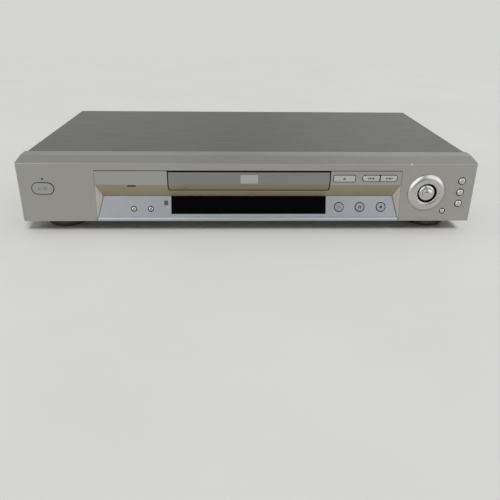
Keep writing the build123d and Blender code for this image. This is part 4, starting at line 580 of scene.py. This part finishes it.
def build_materials():
    """The material of each node."""
    acetal = plastic("acetal", (0.72, 0.70, 0.64), rough=0.4).done()
    black = plastic("black_moulding", (0.02, 0.02, 0.021), rough=0.5).done()
    steel = metal("steel_sheet", (0.52, 0.53, 0.54), rough=0.32, stretch=(0.05, 1, 1)).done()
    machined = metal("drawn_steel", (0.50, 0.50, 0.50), rough=0.28, stretch=(1, 1, 0.1)).done()
    bright = metal("nickel", (0.72, 0.70, 0.66), rough=0.18, amount=0.03).done()
    power_silver = cap_paint("power_silver", "face")
    slope_silver = cap_paint("slope_silver", "slope")
    chrome = cap_metal("cap_chrome", (0.57, 0.565, 0.55), 0.16)
    slope_chrome = cap_metal("slope_chrome", (0.57, 0.565, 0.55), 0.16, "slope")
    ring = cap_metal("ring_chrome", (0.56, 0.55, 0.53), 0.22)
    rubber = plastic("rubber", (0.02, 0.02, 0.02), rough=0.8, grain=700.0, grain_depth=0.00003).done()
    return {
        "chassis_pan": galvanised(), "top_cover": cover_paint(),
        "rear_panel": plastic("rear_paint", (0.13, 0.13, 0.125), rough=0.48).done(),
        "front_bezel": bezel_paint(), "tray_door": door_paint(), "control_panel": panel_paint(),
        "display_window": window_black(), "nav_ring": ring, "small_windows": dark_lenses(),
        "screws": metal("screw_steel", (0.42, 0.42, 0.41), rough=0.3, scale=1500.0).done(),
        "feet": foot_plastic(), "foot_pads": rubber, "drive_belt": rubber,
        "power_board": power_board(), "main_board": main_board(), "front_board": front_board(),
        "transformer": transformer(), "power_capacitors": capacitor_sleeves(),
        "ribbon_cable": ribbon_cable(), "jack_block": black, "jack_shells": bright,
        "jack_inserts": jack_rings(), "power_inlet": black, "fluorescent_display": display_tube(),
        "tact_switches": black, "joystick_base": black, "joystick_gimbal": acetal,
        "joystick_collar": acetal, "joystick_knob": chrome,
        "loader_frame": plastic("loader_plastic", (0.028, 0.028, 0.03), rough=0.55).done(),
        "clamper_bridge": steel, "base_plate": steel, "guide_rods": bright,
        "clamper": plastic("clamper_plastic", (0.55, 0.55, 0.53), rough=0.45).done(),
        "loading_motor": machined, "spindle_motor": machined, "feed_motor": machined,
        "motor_pulley": metal("brass", (0.66, 0.47, 0.20), rough=0.25).done(),
        "pulley_gear": acetal, "drive_gear": acetal, "cam_slider": acetal, "feed_gear": acetal,
        "turntable": plastic("turntable_plastic", (0.03, 0.03, 0.03), rough=0.5).done(),
        "pickup_sled": metal("die_cast", (0.38, 0.38, 0.39), rough=0.45, scale=1200.0).done(),
        "objective_lens": lens_glass(),
        "disc_tray": plastic("tray_plastic", (0.035, 0.035, 0.038), rough=0.48, grain=1800.0,
                             grain_depth=0.000015).done(),
        "power_button": power_silver, "play_button": slope_silver, "pause_button": slope_silver,
        "stop_button": slope_silver, "eject_button": chrome, "previous_button": chrome,
        "next_button": chrome, "picture_button": slope_chrome, "surround_button": slope_chrome,
        "top_menu_button": chrome, "menu_button": chrome, "return_button": chrome,
        "display_button": chrome,
    }


# Edges that are rounded a little, so that they catch the light, in millimetres and degrees
EDGE_WIDTHS = {"front_bezel": 0.25, "tray_door": 0.2, "control_panel": 0.15, "top_cover": 0.2}
EDGE_ANGLE = 25.0


def soften(node, width):
    """Round a CAD piece's sharp edges."""
    thing = frame["nodes"][node]
    weld = thing.modifiers.new("join", "WELD")
    weld.merge_threshold = 0.000002
    bevel = thing.modifiers.new("edges", "BEVEL")
    bevel.width = width / 1000.0
    bevel.segments = 2
    bevel.limit_method = "ANGLE"
    bevel.angle_limit = math.radians(EDGE_ANGLE)
    bevel.harden_normals = True


for node, material in build_materials().items():
    thing = frame["nodes"][node]
    if len(thing.material_slots) == 0:
        thing.data.materials.append(material)
    for slot in thing.material_slots:
        slot.material = material

for node, width in EDGE_WIDTHS.items():
    soften(node, width)

# Printed marks, as thin plates on the caps; their half thickness, and the height from which their points
# are dropped onto a cap, are in metres
ink = plastic("mark_ink", (0.03, 0.03, 0.032), rough=0.6).done()
pale_ink = plastic("pale_ink", (0.09, 0.09, 0.09), rough=0.6).done()
MARK_HALF_THICKNESS = 0.00004
MARK_START = 0.005


def mark(name, node, outlines, place=None, body=None, material=ink):
    """Thin plate on a node's outer face, from outlines of (right, up) points in millimetres."""
    middle, out = place or cap_face(node)
    right = Vector((1, 0, 0))
    up = out.cross(right)
    source = frame["nodes"][node].data
    surface = BVHTree.FromPolygons([vertex.co for vertex in source.vertices],
                                   [tuple(face.vertices) for face in source.polygons])
    mesh = bmesh.new()
    for outline in outlines:
        lower, upper = [], []
        for a, b in outline:
            start = middle + (right * a + up * b) / 1000 + out * MARK_START
            hit = surface.ray_cast(start, -out)[0]
            lower.append(mesh.verts.new(hit - out * MARK_HALF_THICKNESS))
            upper.append(mesh.verts.new(hit + out * MARK_HALF_THICKNESS))
        mesh.faces.new(upper)
        mesh.faces.new(list(reversed(lower)))
        for index in range(len(outline)):
            after = (index + 1) % len(outline)
            mesh.faces.new((lower[index], lower[after], upper[after], upper[index]))
    bmesh.ops.recalc_face_normals(mesh, faces=mesh.faces)
    data = bpy.data.meshes.new(name)
    mesh.to_mesh(data)
    mesh.free()
    thing = bpy.data.objects.new(name, data)
    bpy.context.scene.collection.objects.link(thing)
    data.materials.append(material)
    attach(thing, body or node)


def bar(x0, x1, y0, y1):
    """Outline of an upright rectangle."""
    return [(x0, y0), (x1, y0), (x1, y1), (x0, y1)]


def arc_strip(radius, width, start, end, steps=24):
    """Outlines of an arc's short pieces, with angles in degrees."""
    made = []
    for step in range(steps):
        a = math.radians(start + (end - start) * step / steps)
        b = math.radians(start + (end - start) * (step + 1) / steps)
        inner, outer = radius - width / 2, radius + width / 2
        corners = ((inner, a), (outer, a), (outer, b), (inner, b))
        made.append([(reach * math.cos(angle), reach * math.sin(angle)) for reach, angle in corners])
    return made


def shifted(outlines, right, up=0.0):
    """Outlines moved aside and up."""
    return [[(a + right, b + up) for a, b in outline] for outline in outlines]


standby = shifted([bar(-0.25, 0.25, -1.3, 1.3)], -3.6)
standby += [[(-2.45, -1.3), (-1.95, -1.3), (-0.85, 1.3), (-1.35, 1.3)]]
standby += shifted(arc_strip(1.35, 0.5, 118, 422) + [bar(-0.25, 0.25, 0.4, 1.7)], 2.2)
mark("power_mark", "power_button", standby, material=pale_ink)
eject = shifted([[(-1.5, 0.0), (1.5, 0.0), (0.0, 1.5)], bar(-1.5, 1.5, -0.95, -0.4)], 0.0, -0.4)
mark("eject_mark", "eject_button", eject)
pointer = [(-2.4, 0.0), (0.1, -0.95), (0.1, 0.95)]
back = [bar(-3.0, -2.5, -0.95, 0.95), pointer] + shifted([pointer], 2.6)
mark("previous_mark", "previous_button", back)
onward = [[(-a, b) for a, b in reversed(outline)] for outline in back]
mark("next_mark", "next_button", onward)
play = [bar(-1.3, -0.95, -1.5, 1.5),
        [(-1.3, 1.5), (-0.95, 1.05), (1.7, 0.0), (2.2, 0.0)],
        [(-1.3, -1.5), (2.2, 0.0), (1.7, 0.0), (-0.95, -1.05)]]
mark("play_mark", "play_button", play)
pause = [bar(-1.3, -0.35, -1.3, 1.3), bar(0.35, 1.3, -1.3, 1.3)]
mark("pause_mark", "pause_button", pause)
mark("stop_mark", "stop_button", [bar(-1.15, 1.15, -1.15, 1.15)])
ring_low, ring_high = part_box("nav_ring")
ring_middle = (ring_low + ring_high) / 2
ring_middle.y = ring_low.y
ring_place = (ring_middle, Vector((0, -1, 0)))
ring_pointer = ((-0.6, 11.1), (0.6, 11.1), (0.0, 12.1))
for index in range(4):
    cosine, sine = math.cos(math.radians(90 * index)), math.sin(math.radians(90 * index))
    turned = [(a * cosine - b * sine, a * sine + b * cosine) for a, b in ring_pointer]
    mark("ring_mark_" + str(index + 1), "nav_ring", [turned], ring_place, "root")

# Floor, with the distances between which it fades away, in metres
FLOOR_COLOUR = (0.66, 0.66, 0.64)
FLOOR_FADE = (1.0, 2.2)
FLOOR_SIZE = 12.0


def floor_material():
    """Pale matt floor that fades into the backdrop."""
    made = Surface("floor", FLOOR_COLOUR, roughness=0.65)
    made.vary(0.015, 6.0)
    made.vary_roughness(0.6, 0.7, 20.0)
    away = made.node("VectorMath", operation="LENGTH")
    made.feed(away.inputs[0], made.node("TexCoord").outputs["Object"])
    fade = made.node("MapRange", interpolation_type="SMOOTHSTEP")
    made.feed(fade.inputs["Value"], away.outputs["Value"])
    fade.inputs["From Min"].default_value, fade.inputs["From Max"].default_value = FLOOR_FADE
    mix = made.node("MixShader")
    made.feed(mix.inputs[0], fade.outputs["Result"])
    made.feed(mix.inputs[1], made.shader.outputs[0])
    made.feed(mix.inputs[2], made.node("BsdfTransparent").outputs[0])
    made.feed(made.tree.nodes["Material Output"].inputs["Surface"], mix.outputs[0])
    return made.done()


bpy.ops.mesh.primitive_plane_add(size=FLOOR_SIZE, location=(0, 0, 0))
floor = bpy.context.object
floor.name = "floor"
floor.data.materials.append(floor_material())

# What shiny surfaces see: the room's tone, then soft boxes as direction, half-angle, strength and colour
ROOM_TONE = (0.33, 0.335, 0.34)
SOFT_BOXES = (
    ((-0.45, 1.0, 0.28), 24.0, 0.22, (1.0, 1.0, 0.98)),
    ((0.6, 1.0, 0.28), 24.0, 0.36, (1.0, 1.0, 0.98)),
    ((0.0, -0.25, 1.0), 30.0, 0.22, (1.0, 0.99, 0.97)),
    ((-0.8, -0.7, 0.75), 30.0, 1.3, (0.97, 0.99, 1.0)),
    ((0.85, -0.7, 0.7), 30.0, 1.0, (0.95, 0.98, 1.0)),
    ((-1.0, -0.1, 0.1), 30.0, 0.5, (1.0, 0.98, 0.95)),
    ((1.0, -0.1, 0.1), 30.0, 0.5, (1.0, 0.98, 0.95)),
)
# What matt surfaces get from all sides, with its strength at the horizon and overhead, then the backdrop
# that the camera sees, and the sun, with its angle in degrees
EVEN_LIGHT = (0.42, 0.42, 0.415)
LOW_AND_HIGH_LIGHT = (0.05, 1.62)
BACKDROP = (0.66, 0.66, 0.635)
SUN_ENERGY = 2.45
SUN_ANGLE = 16.0
SUN_DIRECTION = (-0.16, 0.7, -0.72)


def sky(tree, direction, centre, width, strength, colour):
    """Soft round patch of light in the world, as a colour to add; its half-angle is in degrees."""
    dot = tree.nodes.new("ShaderNodeVectorMath")
    dot.operation = "DOT_PRODUCT"
    tree.links.new(direction, dot.inputs[0])
    dot.inputs[1].default_value = Vector(centre).normalized()
    edge = tree.nodes.new("ShaderNodeMapRange")
    edge.interpolation_type = "SMOOTHSTEP"
    tree.links.new(dot.outputs["Value"], edge.inputs["Value"])
    edge.inputs["From Min"].default_value = math.cos(math.radians(width * 1.3))
    edge.inputs["From Max"].default_value = math.cos(math.radians(width * 0.7))
    patch = tree.nodes.new("ShaderNodeVectorMath")
    patch.operation = "SCALE"
    patch.inputs[0].default_value = [strength * part for part in colour]
    tree.links.new(edge.outputs["Result"], patch.inputs["Scale"])
    return patch.outputs[0]


def build_world():
    """Even light for matt surfaces, soft boxes for shiny ones, and a plain pale backdrop."""
    world = bpy.data.worlds.new("studio")
    bpy.context.scene.world = world
    world.use_nodes = True
    tree = world.node_tree
    direction = tree.nodes.new("ShaderNodeTexCoord").outputs["Generated"]
    light = tree.nodes.new("ShaderNodeCombineColor")
    for index, value in enumerate(ROOM_TONE):
        light.inputs[index].default_value = value
    total = light.outputs[0]
    for centre, width, strength, colour in SOFT_BOXES:
        add = tree.nodes.new("ShaderNodeVectorMath")
        add.operation = "ADD"
        tree.links.new(total, add.inputs[0])
        tree.links.new(sky(tree, direction, centre, width, strength, colour), add.inputs[1])
        total = add.outputs[0]
    shiny = tree.nodes["Background"]
    tree.links.new(total, shiny.inputs["Color"])
    matt = tree.nodes.new("ShaderNodeBackground")
    matt.inputs["Color"].default_value = (*EVEN_LIGHT, 1)
    height = tree.nodes.new("ShaderNodeSeparateXYZ")
    tree.links.new(direction, height.inputs[0])
    rise = tree.nodes.new("ShaderNodeMapRange")
    tree.links.new(height.outputs[2], rise.inputs["Value"])
    rise.inputs["To Min"].default_value, rise.inputs["To Max"].default_value = LOW_AND_HIGH_LIGHT
    tree.links.new(rise.outputs["Result"], matt.inputs["Strength"])
    plain = tree.nodes.new("ShaderNodeBackground")
    plain.inputs["Color"].default_value = (*BACKDROP, 1)
    rays = tree.nodes.new("ShaderNodeLightPath")
    inner = tree.nodes.new("ShaderNodeMixShader")
    tree.links.new(rays.outputs["Is Glossy Ray"], inner.inputs[0])
    tree.links.new(matt.outputs[0], inner.inputs[1])
    tree.links.new(shiny.outputs[0], inner.inputs[2])
    outer = tree.nodes.new("ShaderNodeMixShader")
    tree.links.new(rays.outputs["Is Camera Ray"], outer.inputs[0])
    tree.links.new(inner.outputs[0], outer.inputs[1])
    tree.links.new(plain.outputs[0], outer.inputs[2])
    tree.links.new(outer.outputs[0], tree.nodes["World Output"].inputs["Surface"])


build_world()
sun = bpy.data.objects.new("sun", bpy.data.lights.new("sun", "SUN"))
bpy.context.scene.collection.objects.link(sun)
sun.data.energy = SUN_ENERGY
sun.data.angle = math.radians(SUN_ANGLE)
sun.visible_glossy = False
sun.rotation_euler = Vector(SUN_DIRECTION).to_track_quat("-Z", "Y").to_euler()


# The camera that fits the photograph's edges: degrees, then millimetres
CAMERA_PITCH = 24.78
CAMERA_YAW = 2.04
CAMERA_ROLL = -0.68
CAMERA_PLACE = (-15.8, -604.45, 205.6)
CAMERA_LENS = 38.69
CAMERA_SENSOR = 36.0


def camera_frame():
    """The camera's matrix, from its pitch, yaw and roll."""
    pitch, yaw, roll = [math.radians(turn) for turn in (CAMERA_PITCH, CAMERA_YAW, CAMERA_ROLL)]
    ahead = Vector((math.sin(yaw) * math.cos(pitch), math.cos(yaw) * math.cos(pitch), -math.sin(pitch)))
    right = Vector((math.cos(yaw), -math.sin(yaw), 0))
    down = ahead.cross(right)
    turned_right = right * math.cos(roll) + down * math.sin(roll)
    turned_down = down * math.cos(roll) - right * math.sin(roll)
    turn = Matrix((turned_right, -turned_down, -ahead)).transposed().to_4x4()
    return Matrix.Translation(metres(*CAMERA_PLACE)) @ turn


camera = bpy.data.objects.new("camera", bpy.data.cameras.new("camera"))
bpy.context.scene.collection.objects.link(camera)
camera.data.sensor_width = CAMERA_SENSOR
camera.data.lens = CAMERA_LENS
camera.data.clip_start = 0.01
camera.matrix_world = camera_frame()
bpy.context.scene.camera = camera
bpy.context.scene.view_settings.view_transform = "Standard"
